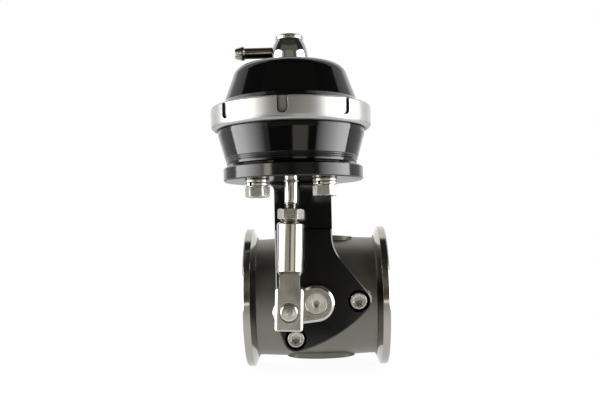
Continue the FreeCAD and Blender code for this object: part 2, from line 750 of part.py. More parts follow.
def pin_play():
    """How far the pin wanders in the lever over the stroke.

    The lever turns in step with the rod, so the pin's true place leaves the lever's
    circle: least and greatest reach from the shaft, and greatest sideways shift.
    """
    reaches, shifts = [], []
    steps = 40
    for step in range(steps + 1):
        share = step / steps
        along = PIN_START + share * STROKE
        reach = math.hypot(ROD_OFFSET, along)
        swing = math.atan2(along, ROD_OFFSET) - math.atan2(PIN_START, ROD_OFFSET)
        reaches.append(reach)
        shifts.append(reach * (swing - math.radians(TURN) * share))
    return min(reaches), max(reaches), max(abs(shift) for shift in shifts)


def make_lever():
    """Flat lever on the shaft's two flats, with a slot for the clevis pin."""
    blank = prism(lever_outline(), LEVER_BACK, LEVER_FACE)
    blank = blank.makeChamfer(LEVER_CHAMFER, edges_at_height(blank, LEVER_FACE, (-99, -99), (99, 99)))
    near, far, shift = pin_play()
    half = PIN_R + shift + 3 * RUN_FIT
    slot = Outline(near, -half).line(far, -half).swing((far, 0), 90, 1).line(near, half)
    slot.swing((near, 0), -90, 1)
    slot = turn_copy(prism(slot, LEVER_BACK - 1, LEVER_FACE + 1), PIN_ANGLE)
    drive = drive_flats(DRIVE_R + RUN_FIT, DRIVE_FLAT + RUN_FIT, LEVER_BACK - 1,
                        LEVER_BACK + DRIVE_LENGTH + FACE_PLAY)
    screw_way = moved(sunk_hole(M5_SUNK, LEVER_THICK + 1, 0.1), V(0, 0, LEVER_FACE))
    return front(blank.cut([slot, drive, screw_way]))


def make_lever_screw():
    """Countersunk M5 that clamps the lever to the shaft."""
    return front(moved(sunk_screw(M5_SUNK, 13.0), V(0, 0, LEVER_FACE - 0.1)))


# ---------------------------------------------------------------- pushrod

def clevis_view():
    """Front view of the fork and its neck, about the pin."""
    half, neck, foot = CLEVIS_WIDTH / 2, CLEVIS_NECK_WIDTH / 2, -CLEVIS_BELOW_PIN
    run_out = CLEVIS_BOSS_FROM - (CLEVIS_BOSS_R - neck)
    view = Outline(0, foot).corner(half, foot, 1.4, (half, 0))
    view.corner(half, FORK_ABOVE_PIN, 1.4, (neck, FORK_ABOVE_PIN))
    view.corner(neck, FORK_ABOVE_PIN, 0.3, (neck, run_out)).line(neck, run_out)
    view.line(CLEVIS_BOSS_R, CLEVIS_BOSS_FROM).line(CLEVIS_BOSS_R, CLEVIS_BOSS_FROM + 1)
    view.line(-CLEVIS_BOSS_R, CLEVIS_BOSS_FROM + 1).line(-CLEVIS_BOSS_R, CLEVIS_BOSS_FROM)
    view.line(-neck, run_out).corner(-neck, FORK_ABOVE_PIN, 0.3, (-half, FORK_ABOVE_PIN))
    view.corner(-half, FORK_ABOVE_PIN, 1.4, (-half, foot)).corner(-half, foot, 1.4, (0, foot))
    return view


def make_clevis():
    """Clevis turned and milled from square bar, slotted for the lever.

    The fork keeps the bar's flats; the turned envelope takes off its corners and runs
    out on the flats in an arch below the round boss.
    """
    depth = CLEVIS_DEPTH / 2
    flats = moved(front(prism(clevis_view(), 0, CLEVIS_DEPTH)), V(0, depth, 0))
    run_out = CLEVIS_BOSS_FROM - CLEVIS_ARCH
    skin = Outline(0, -CLEVIS_BELOW_PIN - 1).line(CLEVIS_CORNER_R, -CLEVIS_BELOW_PIN - 1)
    skin.line(CLEVIS_CORNER_R, run_out).line(CLEVIS_BOSS_R, CLEVIS_BOSS_FROM)
    skin.line(CLEVIS_BOSS_R, CLEVIS_BOSS_FROM + 1).line(0, CLEVIS_BOSS_FROM + 1)
    boss = Outline(0, CLEVIS_BOSS_FROM).line(CLEVIS_BOSS_R, CLEVIS_BOSS_FROM)
    boss.line(CLEVIS_BOSS_R, CLEVIS_TOP - 0.8).line(CLEVIS_BOSS_R - 0.8, CLEVIS_TOP).line(0, CLEVIS_TOP)
    foot, top = -CLEVIS_BELOW_PIN, CLEVIS_BOSS_FROM + 1
    inner, eased = depth - CLEVIS_FOOT_BREAK, foot + CLEVIS_FOOT_BREAK
    side = polygon([(-inner, foot), (inner, foot), (depth, eased), (depth, top), (-depth, top), (-depth, eased)])
    eased_foot = turn_copy(front(prism(side, -CLEVIS_WIDTH, CLEVIS_WIDTH)), 90)
    clevis = joined([flats.common(turned(skin)).common(eased_foot), turned(boss)])
    gap = LEVER_THICK / 2 + FACE_PLAY
    slot = Part.makeBox(4 * CLEVIS_WIDTH, 2 * gap, 40.0)
    slot.translate(V(-2 * CLEVIS_WIDTH, -gap, CLEVIS_SLOT_TOP - 40.0))
    slot = slot.makeFillet(gap * 0.9, [edge for edge in slot.Edges if long_top_edge(edge)])
    cuts = [slot, front(rod(PIN_R + RUN_FIT, -depth - 1, depth + 1))]
    cuts.append(front(rod(PIN_HEAD_R + 0.45, depth - PIN_HEAD_SINK, depth + 1)))
    cuts.append(rod(ROD_R + SEAT_FIT, CLEVIS_TOP - ROD_SOCKET_DEPTH - DRILL_EXTRA, CLEVIS_TOP + 1))
    return on_rod(clevis.cut(cuts))


def long_top_edge(edge):
    """True for the slot cutter's top edges along X."""
    box = edge.BoundBox
    return box.XLength > CLEVIS_WIDTH and abs(box.ZMin - CLEVIS_SLOT_TOP) < 1e-4


def make_clevis_pin():
    """Headed pin through the fork, domed at the front, grooved for its clip."""
    depth = CLEVIS_DEPTH / 2
    seat = depth - PIN_HEAD_SINK
    body = Outline(0, -depth - 1.6).line(PIN_R - 0.4, -depth - 1.6).line(PIN_R, -depth - 1.2)
    body.line(PIN_R, -depth - 0.95).line(PIN_R - 0.5, -depth - 0.95).line(PIN_R - 0.5, -depth - 0.1)
    body.line(PIN_R, -depth - 0.1).line(PIN_R, seat).line(PIN_HEAD_R, seat)
    body.line(PIN_HEAD_R, depth).dome(PIN_DOME)
    return on_rod(front(turned(body)))


def make_pin_clip():
    """Open retaining clip in the pin's groove."""
    depth = CLEVIS_DEPTH / 2
    clip = ring(PIN_R - 0.5 + RUN_FIT, PIN_R + 1.2, -depth - 0.9, -depth - 0.15)
    mouth = Part.makeBox(2 * PIN_R, 4.0, 3.0, V(0, -2.0, -depth - 2.0))
    return on_rod(front(turn_copy(clip.cut(mouth), -90)))


def make_jam_nut():
    """Hexagon jam nut with a turned washer face against the clevis."""
    foot = CLEVIS_TOP
    nut = faceted(JAM_NUT_AF, foot + JAM_NUT_FACE, NUT_TOP, both_ends=True)
    nut = joined([nut, rod(JAM_NUT_FACE_R, foot, foot + JAM_NUT_FACE)])
    return on_rod(nut.cut(rod(ROD_R + SEAT_FIT, foot - 1, NUT_TOP + 1)))


def make_actuator_rod():
    """Pushrod: screwed into the clevis below, shouldered under the piston above."""
    foot = CLEVIS_TOP - ROD_SOCKET_DEPTH
    stud_r, head = ROD_R - 0.175, HUB_TOP + PISTON_PLATE + PISTON_NUT_HEIGHT + 1.5
    body = Outline(0, foot).line(ROD_R - 0.5, foot).line(ROD_R, foot + 0.5)
    body.line(ROD_R, PISTON_FOOT).line(stud_r, PISTON_FOOT).line(stud_r, head - 0.5)
    body.line(stud_r - 0.5, head).line(0, head)
    return on_rod(turned(body))


def make_piston_plate():
    """Lower plate that backs the diaphragm."""
    plate = Outline(ROD_R - 0.155, PISTON_FOOT).line(PISTON_R - 1, PISTON_FOOT)
    plate.line(PISTON_R, PISTON_FOOT + 1).line(PISTON_R, HUB_FOOT).line(ROD_R - 0.155, HUB_FOOT)
    return on_rod(turned(plate))


def make_piston():
    """Upper cup that the springs press on, rimmed to keep the outer spring central."""
    bore, top = ROD_R - 0.155, HUB_TOP + PISTON_PLATE
    cup = Outline(bore, HUB_TOP).line(PISTON_R - 1.0, HUB_TOP).line(PISTON_R, HUB_TOP + 1.0)
    cup.line(PISTON_R, top + PISTON_RIM).line(PISTON_R - 1.5, top + PISTON_RIM)
    cup.line(PISTON_R - 1.5, top).line(bore, top)
    return on_rod(turned(cup))


def make_piston_nut():
    """Nut that clamps the piston, diaphragm and plate on the rod."""
    foot = HUB_TOP + PISTON_PLATE
    nut = faceted(PISTON_NUT_AF, foot, foot + PISTON_NUT_HEIGHT)
    return on_rod(nut.cut(rod(ROD_R - 0.155, foot - 1, foot + 10)))


# ---------------------------------------------------------------- actuator

def cone_radius(z):
    """Outer radius of the housing's cone at the level z."""
    share = (z - HOUSING_FOOT_Z) / HOUSING_CONE
    return HOUSING_FOOT_R + share * (HOUSING_BAND_R - HOUSING_FOOT_R)


def lower_port_height():
    """Level of the port under the diaphragm."""
    return HOUSING_FOOT_Z + HOUSING_CONE * 0.7


def make_actuator_housing():
    """Tapered lower housing with turned grooves, a port behind and tapped holes below."""
    shell = Outline(0, TOP_PLATE_TOP).line(HOUSING_RECESS_R, TOP_PLATE_TOP)
    shell.line(HOUSING_RECESS_R, HOUSING_FOOT_Z).line(cone_radius(HOUSING_FOOT_Z), HOUSING_FOOT_Z)
    for index in range(GROOVE_COUNT):
        z = HOUSING_FOOT_Z + GROOVE_PITCH * (index + 1)
        middle = z + GROOVE_PITCH / 2
        shell.line(cone_radius(z), z).line(cone_radius(middle) - GROOVE_DEPTH, middle)
    z = HOUSING_FOOT_Z + GROOVE_PITCH * (GROOVE_COUNT + 1)
    shell.line(cone_radius(z), z)
    shell.line(HOUSING_BAND_R, HOUSING_EDGE_Z).line(HOUSING_BAND_R, CLAMP_Z)
    inner_top = HOUSING_BAND_R - HOUSING_WALL
    inner_foot = cone_radius(FLOOR_Z) - HOUSING_WALL
    shell.line(inner_top, CLAMP_Z).line(inner_top, HOUSING_EDGE_Z).line(inner_foot, FLOOR_Z)
    shell.line(0, FLOOR_Z)
    housing = on_actuator(turned(shell))
    cuts = [on_actuator(rod(ROD_SEAL_R + SEAT_FIT, TOP_PLATE_TOP - 1, FLOOR_Z + 1))]
    for place in housing_bolt_places():
        depth = TOP_PLATE_THICK + M6_REACH + DRILL_EXTRA
        cuts.append(moved(rod(M6_HEX_R + SEAT_FIT, 0, depth), place))
    screw = neck_screw_place()
    cuts.append(moved(sunk_hole(M6_SUNK, HOUSING_FLOOR + 1, RUN_FIT), V(screw.x, screw.y, FLOOR_Z)))
    height = lower_port_height()
    port = rod(LOWER_PORT_R + SEAT_FIT, 0, HOUSING_BAND_R + 5)
    spot_face = rod(LOWER_PORT_HEX / math.sqrt(3) + 1.0, lower_port_seat(), HOUSING_BAND_R + 5)
    for tool in (port, spot_face):
        cuts.append(on_actuator(moved(turn_copy(tool, -90, V(1, 0, 0)), V(0, 0, height))))
    return housing.cut(cuts)


def lower_port_seat():
    """Distance from the actuator axis to the port's spot face."""
    return cone_radius(lower_port_height()) - 2.0


def make_locking_collar():
    """Screwed collar that clamps the cap, with eight shallow wrench slots."""
    thread_r, lip_z = HOUSING_BAND_R + 2 * RUN_FIT, CAP_FLANGE_TOP
    lip_r = CAP_SHOULDER_R + 0.3
    body = Outline(thread_r, COLLAR_Z).corner(COLLAR_R, COLLAR_Z, COLLAR_ROUND, (COLLAR_R, COLLAR_TOP))
    body.line(COLLAR_R, COLLAR_TOP - EDGE_BREAK).line(COLLAR_R - EDGE_BREAK, COLLAR_TOP)
    body.line(lip_r, COLLAR_TOP)
    body.line(lip_r, lip_z).line(thread_r, lip_z)
    collar = turned(body)
    half, foot = COLLAR_SLOT_WIDTH / 2, COLLAR_Z + COLLAR_SLOT_FOOT
    view = Outline(-half, COLLAR_TOP + 1).line(-half, foot + half)
    view.swing((0, foot + half), 0, 1).line(half, COLLAR_TOP + 1)
    floor_r = COLLAR_R - COLLAR_SLOT_DEPTH
    cutter = front(prism(view, floor_r, COLLAR_R + 5))
    step = 360.0 / COLLAR_SLOTS
    slots = [turn_copy(cutter, COLLAR_SLOT_TURN + step * index) for index in range(COLLAR_SLOTS)]
    return on_actuator(collar.cut(slots))


def make_actuator_cap():
    """Domed cap over the springs: clamping flange, chamfered shoulder, cone and crown."""
    flange_r = HOUSING_BAND_R - 0.1
    shell = Outline(inner_cap_r(), CAP_Z).line(flange_r, CAP_Z).line(flange_r, CAP_FLANGE_TOP)
    shell.line(CAP_SHOULDER_R, CAP_FLANGE_TOP).line(CAP_SHOULDER_R, CAP_SHOULDER_TOP)
    shell.line(CAP_FOOT_R, CAP_CONE_Z).line(CAP_WAIST_R, CAP_WAIST_Z)
    crown_end = CAP_WAIST_R - CAP_CROWN_R
    bend = polar((crown_end, CAP_TOP - CAP_CROWN_R), CAP_CROWN_R, 50)
    shell.arc(bend, (crown_end, CAP_TOP))
    shell.arc((FITTING_BASE_R + 6, CAP_TOP + CAP_CROWN_RISE * 0.8), (FITTING_BASE_R, CAP_CENTRE_TOP))
    shell.line(BANJO_R + SEAT_FIT, CAP_CENTRE_TOP).line(BANJO_R + SEAT_FIT, CAP_CEILING)
    shell.line(CAP_WAIST_R - CAP_WALL - CAP_CROWN_R * 0.6, CAP_CEILING)
    shell.line(CAP_WAIST_R - CAP_WALL, CAP_WAIST_Z - CAP_WALL * 0.6).line(inner_cap_r(), CAP_FLANGE_TOP)
    return on_actuator(turned(shell))


def inner_cap_r():
    """Inside radius of the cap at the diaphragm."""
    return HOUSING_BAND_R - HOUSING_WALL - 1.0


def make_diaphragm():
    """Rubber diaphragm: clamped rim, sloping roll and a hub that leans with the rod."""
    rim_r = HOUSING_BAND_R - 0.2
    rim = on_actuator(ring(DIAPHRAGM_ROLL_R, rim_r, CLAMP_Z, CAP_Z))
    hub = on_rod(ring(ROD_R, DIAPHRAGM_HUB_R, HUB_FOOT, HUB_TOP))
    shells = []
    for shrink in (0.0, DIAPHRAGM_THICK):
        upper = Part.makeCircle(DIAPHRAGM_ROLL_R + 0.8 - shrink, ACTUATOR + V(0, 0, CAP_Z))
        lower = Part.makeCircle(DIAPHRAGM_HUB_R - shrink, V(0, 0, HUB_FOOT))
        shells.append(Part.makeLoft([Part.Wire(upper), on_rod(Part.Wire(lower))], True))
    roll = shells[0].cut(shells[1])
    return joined([rim, roll, hub])


def make_spring(radius, wire_r, turns):
    """Helical spring between the cap's ceiling and the piston cup.

    The wire is drawn six-sided and lofted from station to station round the helix.
    """
    seat = PIN_AT_REST.z + (HUB_TOP + PISTON_PLATE) * math.cos(LEAN)
    lean_lift = (radius + wire_r) * math.sin(LEAN) + FACE_PLAY
    low, high = seat + lean_lift + wire_r, CAP_CEILING - wire_r - RUN_FIT
    stations = []
    count = round(turns * SPRING_STATIONS)
    for index in range(count + 1):
        corners = [polar((radius, 0), wire_r, 60 * side) for side in range(7)]
        section = Part.makePolygon([V(x, 0, z) for x, z in corners])
        place = V(0, 0, low + (high - low) * index / count)
        stations.append(moved(turn_copy(section, 360 * turns * index / count), place))
    return on_actuator(Part.makeLoft(stations, True, True))


def make_rod_bush():
    """Guide bush in the top plate, bored along the leaning rod."""
    bush = on_actuator(rod(ROD_BUSH_R, TOP_PLATE_Z + ROD_BUSH_STEP, TOP_PLATE_TOP))
    nose_foot = TOP_PLATE_Z - ROD_BUSH_NOSE
    nose = rod(ROD_BUSH_NOSE_R, nose_foot, TOP_PLATE_TOP, nose_x(), -ROD_PLANE)
    return joined([bush, nose]).cut(rod_way(RUN_FIT))


def nose_x():
    """Where the leaning rod crosses the top plate's underside."""
    return PIN_AT_REST.x + (TOP_PLATE_Z - PIN_AT_REST.z) * math.tan(LEAN)


def make_rod_seal():
    """Gas seal round the rod in the housing's floor."""
    return on_actuator(rod(ROD_SEAL_R, TOP_PLATE_TOP, FLOOR_Z)).cut(rod_way(RUN_FIT))


def rod_way(gap):
    """The space of the sliding rod, with a radial gap."""
    return on_rod(rod(ROD_R + gap, NUT_TOP, HUB_FOOT + 20))


# ---------------------------------------------------------------- hose fittings

def barb(shank_from, reach):
    """Hose barb along +Z: shank, sharp-backed crest with a short land, and taper."""
    crest = reach - BARB_TAPER
    outline = Outline(BARB_BORE_R, shank_from).line(BARB_SHANK_R, shank_from)
    outline.line(BARB_SHANK_R, crest - BARB_LAND - 0.7).line(BARB_CREST_R, crest - BARB_LAND)
    outline.line(BARB_CREST_R, crest).line(BARB_TIP_R, reach).line(BARB_BORE_R, reach)
    return turned(outline)


def fitting_axis():
    """Foot of the cap fitting's axis."""
    return ACTUATOR + V(0, 0, FITTING_Z)


def make_banjo_body():
    """Domed swivel body of the cap fitting, cross-bored for the barb."""
    top = FITTING_HEIGHT
    body = Outline(BANJO_R + 0.1, 0).line(FITTING_BASE_R, 0).line(FITTING_R, 1.2)
    body.line(FITTING_R, BARB_HEIGHT - 0.6)
    body.arc((FITTING_R - 0.75, top * 0.76), (FITTING_NECK_R, top)).line(BANJO_R + 0.1, top)
    body = turned(body)
    way = moved(turn_copy(rod(BARB_SHANK_R + SEAT_FIT, 0, 20), -90, V(0, 1, 0)), V(0, 0, BARB_HEIGHT))
    return moved(body.cut(way), fitting_axis())


def make_hose_barb():
    """Barb pressed into the swivel body, pointing along -X."""
    tail = barb(BANJO_R + 0.4, BARB_REACH)
    return moved(turn_copy(tail, -90, V(0, 1, 0)), fitting_axis() + V(0, 0, BARB_HEIGHT))


def make_banjo_bolt():
    """Hollow bolt through the swivel body: low round head, cross hole and thread."""
    seat = FITTING_HEIGHT + SEAL_WASHER
    foot = CAP_CEILING - FITTING_Z + 0.3
    body = Outline(0, foot).line(BANJO_R, foot).line(BANJO_R, seat).line(BANJO_HEAD_R, seat)
    body.line(BANJO_HEAD_R, seat + BANJO_HEAD - BANJO_CROWN).dome(BANJO_CROWN)
    bolt = turned(body)
    cuts = [rod(BANJO_BORE_R, foot - 1, BARB_HEIGHT + 2)]
    cuts.append(moved(turn_copy(rod(1.6, -8, 8), 90, V(0, 1, 0)), V(0, 0, BARB_HEIGHT)))
    return moved(bolt.cut(cuts), fitting_axis())


def make_banjo_seals():
    """Sealing washers below and above the swivel body."""
    lower = ring(BANJO_R + 0.1, FITTING_BASE_R - 0.3, -SEAL_WASHER, 0)
    upper = ring(BANJO_R + 0.1, FITTING_NECK_R - 0.1, FITTING_HEIGHT, FITTING_HEIGHT + SEAL_WASHER)
    return group([moved(seal, fitting_axis()) for seal in (lower, upper)])


def make_lower_port_fitting():
    """Barbed fitting in the port under the diaphragm, pointing back along +Y."""
    seat = lower_port_seat()
    thread = ring(BARB_BORE_R, LOWER_PORT_R, seat - 3.5, seat)
    collar = prism(hexagon(LOWER_PORT_HEX), seat, seat + LOWER_PORT_HEX_LENGTH)
    collar = collar.cut(rod(BARB_BORE_R, seat - 1, seat + 10))
    tail = barb(seat + LOWER_PORT_HEX_LENGTH, seat + LOWER_PORT_HEX_LENGTH + LOWER_PORT_REACH * 0.75)
    fitting = turn_copy(joined([thread, collar, tail]), -90, V(1, 0, 0))
    return on_actuator(moved(fitting, V(0, 0, lower_port_height())))


# ---------------------------------------------------------------- nodes

NODES = {
    "valve_body": make_valve_body,
    "butterfly_disc": make_butterfly_disc,
    "butterfly_shaft": make_butterfly_shaft,
    "disc_screws": make_disc_screws,
    "shaft_bushes": make_shaft_bushes,
    "shaft_seal": make_shaft_seal,
    "thrust_washer": make_thrust_washer,
    "rear_plug": make_rear_plug,
    "bracket": make_bracket,
    "bracket_screws": make_bracket_screws,
    "housing_bolts": make_housing_bolts,
    "plain_washers": make_plain_washers,
    "spring_washers": make_spring_washers,
    "neck_screw": make_neck_screw,
    "lever": make_lever,
    "lever_screw": make_lever_screw,
    "clevis": make_clevis,
    "clevis_pin": make_clevis_pin,
    "pin_clip": make_pin_clip,
    "jam_nut": make_jam_nut,
    "actuator_rod": make_actuator_rod,
    "rod_bush": make_rod_bush,
    "rod_seal": make_rod_seal,
    "actuator_housing": make_actuator_housing,
    "locking_collar": make_locking_collar,
    "actuator_cap": make_actuator_cap,
    "diaphragm": make_diaphragm,
    "piston_plate": make_piston_plate,
    "piston": make_piston,
    "piston_nut": make_piston_nut,
    "outer_spring": lambda: make_spring(OUTER_SPRING_R, OUTER_WIRE_R, OUTER_TURNS),
    "inner_spring": lambda: make_spring(INNER_SPRING_R, INNER_WIRE_R, INNER_TURNS),
    "banjo_body": make_banjo_body,
    "hose_barb": make_hose_barb,
    "banjo_bolt": make_banjo_bolt,
    "banjo_seals": make_banjo_seals,
    "lower_port_fitting": make_lower_port_fitting,
}


def main():
    """Build every node and write it to its own file."""
    os.makedirs("parts", exist_ok=True)
    for name, build in NODES.items():
        shape = build()
        shape.exportStep(f"parts/{name}.step")
        print(f"{name}: {len(shape.Solids)} solid(s), {shape.Volume / 1000:.2f} cm3, valid {shape.isValid()}")


main()
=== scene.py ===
"""Looks of an in-line butterfly wastegate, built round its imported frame.

The frame carries every machined piece at its true place.  This file gives each of them its
finish, and adds the surfaces that a plain solid lacks: screw sockets, rolled threads, split
washers, round-wire springs, the folded diaphragm and the plated hose fittings.
All lengths are in metres, in the frame's axes: +X along the pipe, +Z up, lever side at -Y.
"""
import json
import logging
import math
from dataclasses import dataclass
from enum import Enum

import bpy
import numpy as np
from mathutils import Matrix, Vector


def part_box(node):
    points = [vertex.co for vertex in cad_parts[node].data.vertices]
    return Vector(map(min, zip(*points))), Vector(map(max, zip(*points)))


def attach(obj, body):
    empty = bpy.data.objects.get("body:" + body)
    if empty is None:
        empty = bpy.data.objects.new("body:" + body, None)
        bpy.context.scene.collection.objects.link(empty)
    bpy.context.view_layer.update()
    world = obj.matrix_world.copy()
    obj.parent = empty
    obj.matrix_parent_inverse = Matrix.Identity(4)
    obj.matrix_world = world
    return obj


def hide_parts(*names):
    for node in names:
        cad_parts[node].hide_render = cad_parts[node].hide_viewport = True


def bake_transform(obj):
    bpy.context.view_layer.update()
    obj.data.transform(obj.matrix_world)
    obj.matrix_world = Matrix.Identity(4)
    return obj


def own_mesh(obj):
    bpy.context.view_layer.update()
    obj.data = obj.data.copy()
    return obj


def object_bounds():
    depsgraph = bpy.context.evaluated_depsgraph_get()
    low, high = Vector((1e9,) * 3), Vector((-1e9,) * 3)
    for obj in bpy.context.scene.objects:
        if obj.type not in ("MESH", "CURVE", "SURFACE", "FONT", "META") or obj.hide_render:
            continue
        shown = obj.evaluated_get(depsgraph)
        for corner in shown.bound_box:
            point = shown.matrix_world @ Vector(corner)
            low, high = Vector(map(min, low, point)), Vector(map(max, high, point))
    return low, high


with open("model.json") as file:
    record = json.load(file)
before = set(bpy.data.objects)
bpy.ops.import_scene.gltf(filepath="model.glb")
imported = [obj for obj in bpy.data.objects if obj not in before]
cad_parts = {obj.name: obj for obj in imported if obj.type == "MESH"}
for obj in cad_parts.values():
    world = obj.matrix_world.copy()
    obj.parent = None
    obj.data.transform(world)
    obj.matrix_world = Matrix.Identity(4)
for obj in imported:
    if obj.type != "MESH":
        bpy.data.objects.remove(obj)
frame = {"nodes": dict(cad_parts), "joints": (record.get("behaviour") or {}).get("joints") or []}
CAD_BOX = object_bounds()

LOG = logging.getLogger("wastegate")

Array = np.ndarray
Colour = tuple[float, float, float]
Point = tuple[float, float, float]
Span = tuple[float, float]
Corners = tuple[tuple[float, float], ...]
Node = bpy.types.Node
Socket = bpy.types.NodeSocket

MM = 0.001
FULL_TURN = 2 * math.pi
ROUND = 72                                 # angles round a turned piece
BLACK = (0.0, 0.0, 0.0)
WHITE = (1.0, 1.0, 1.0)


class Body(str, Enum):
    """The moving bodies of the frame."""

    HOUSING = "housing"
    PUSHROD = "pushrod"
    BUTTERFLY = "butterfly"


class Ends(Enum):
    """How the ends of a grid are closed."""

    POLES = "poles"
    LOOP = "loop"


# ------------------------------------------------------------------ places

@dataclass(frozen=True)
class Axis:
    """A line with a direction, and the two directions square to it.

    Attributes:
        origin: the point where height is zero.
        direction: unit vector of rising height.
    """

    origin: Point
    direction: Point = (0.0, 0.0, 1.0)

    def square(self) -> tuple[Array, Array, Array]:
        """Unit vectors e1 and e2 across the axis, and its own direction.

        Returns:
            e1, e2 and the direction, right-handed in that order.
        """
        along = np.array(self.direction, dtype=float)
        along /= np.linalg.norm(along)
        helper = np.array((0.0, 1.0, 0.0)) if abs(along[1]) < 0.9 else np.array((1.0, 0.0, 0.0))
        first = np.cross(helper, along)
        first /= np.linalg.norm(first)
        return first, np.cross(along, first), along

    def place(self, radius: Array, angle: Array, height: Array) -> Array:
        """Points at a radius, an angle and a height: origin + r (cos a e1 + sin a e2) + h d.

        Args:
            radius: distances from the axis.
            angle: angles about the axis in radians.
            height: distances along the axis.

        Returns:
            Points, one for each of the broadcast inputs.
        """
        first, second, along = self.square()
        radius, angle, height = np.broadcast_arrays(radius, angle, height)
        across = np.cos(angle)[..., None] * first + np.sin(angle)[..., None] * second
        return np.array(self.origin) + radius[..., None] * across + height[..., None] * along

    def shifted(self, height: float) -> "Axis":
        """The same axis with its origin moved along it."""
        start = np.array(self.origin) + self.square()[2] * height
        return Axis(tuple(start), self.direction)


def box_of(node: str) -> tuple[Array, Array]:
    """Lowest and highest corner of a frame node, as arrays."""
    low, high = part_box(node)
    return np.array(low), np.array(high)


def middle_of(node: str) -> Array:
    """Middle of a frame node's box."""
    low, high = box_of(node)
    return (low + high) / 2


# ------------------------------------------------------------------ surfaces

def in_mm(corners: Corners) -> Array:
    """Corners given in millimetres, as rows of (radius, height) in metres."""
    return np.array(corners) * MM


def soften(profile: Array, radius: float, closed: bool = False) -> Array:
    """Profile whose corners are rounded.

    Each corner P between its neighbours becomes the curve (1-t)^2 A + 2t(1-t) P + t^2 B, where
    A and B lie on the two sides at the rounding's run, never past 0.45 of a side, and t takes
    four even steps from 0 to 1.

    Args:
        profile: corners as rows of (radius, height).
        radius: how far the rounding runs along each side.
        closed: True when the last corner joins the first.

    Returns:
        The rounded profile as rows of (radius, height).
    """
    corners = np.asarray(profile, dtype=float)
    before, after = np.roll(corners, 1, 0) - corners, np.roll(corners, -1, 0) - corners
    reach_before = np.linalg.norm(before, axis=1, keepdims=True)
    reach_after = np.linalg.norm(after, axis=1, keepdims=True)
    start = corners + before / reach_before * np.minimum(radius, 0.45 * reach_before)
    end = corners + after / reach_after * np.minimum(radius, 0.45 * reach_after)
    t = np.linspace(0, 1, 4)[None, :, None]
    bends = ((1 - t) ** 2 * start[:, None] + 2 * t * (1 - t) * corners[:, None]
             + t ** 2 * end[:, None])
    if closed:
        return bends.reshape(-1, 2)
    return np.vstack([corners[:1], bends[1:-1].reshape(-1, 2), corners[-1:]])


def ring_angles(count: int) -> Array:
    """Evenly spaced angles of a full ring, the first at zero."""
    return np.arange(count) * FULL_TURN / count


def hexagon_radius(across_flats: float, twist: float) -> Array:
    """Radius of a hexagon: half its width over cos of the angle from the nearest flat's middle.

    Args:
        across_flats: the hexagon's width.
        twist: angle of a flat's middle.

    Returns:
        One radius for each angle round a turned piece.
    """
    sixth = math.pi / 3
    from_flat = np.mod(ring_angles(ROUND) - twist + sixth / 2, sixth) - sixth / 2
    return across_flats / 2 / np.cos(from_flat)


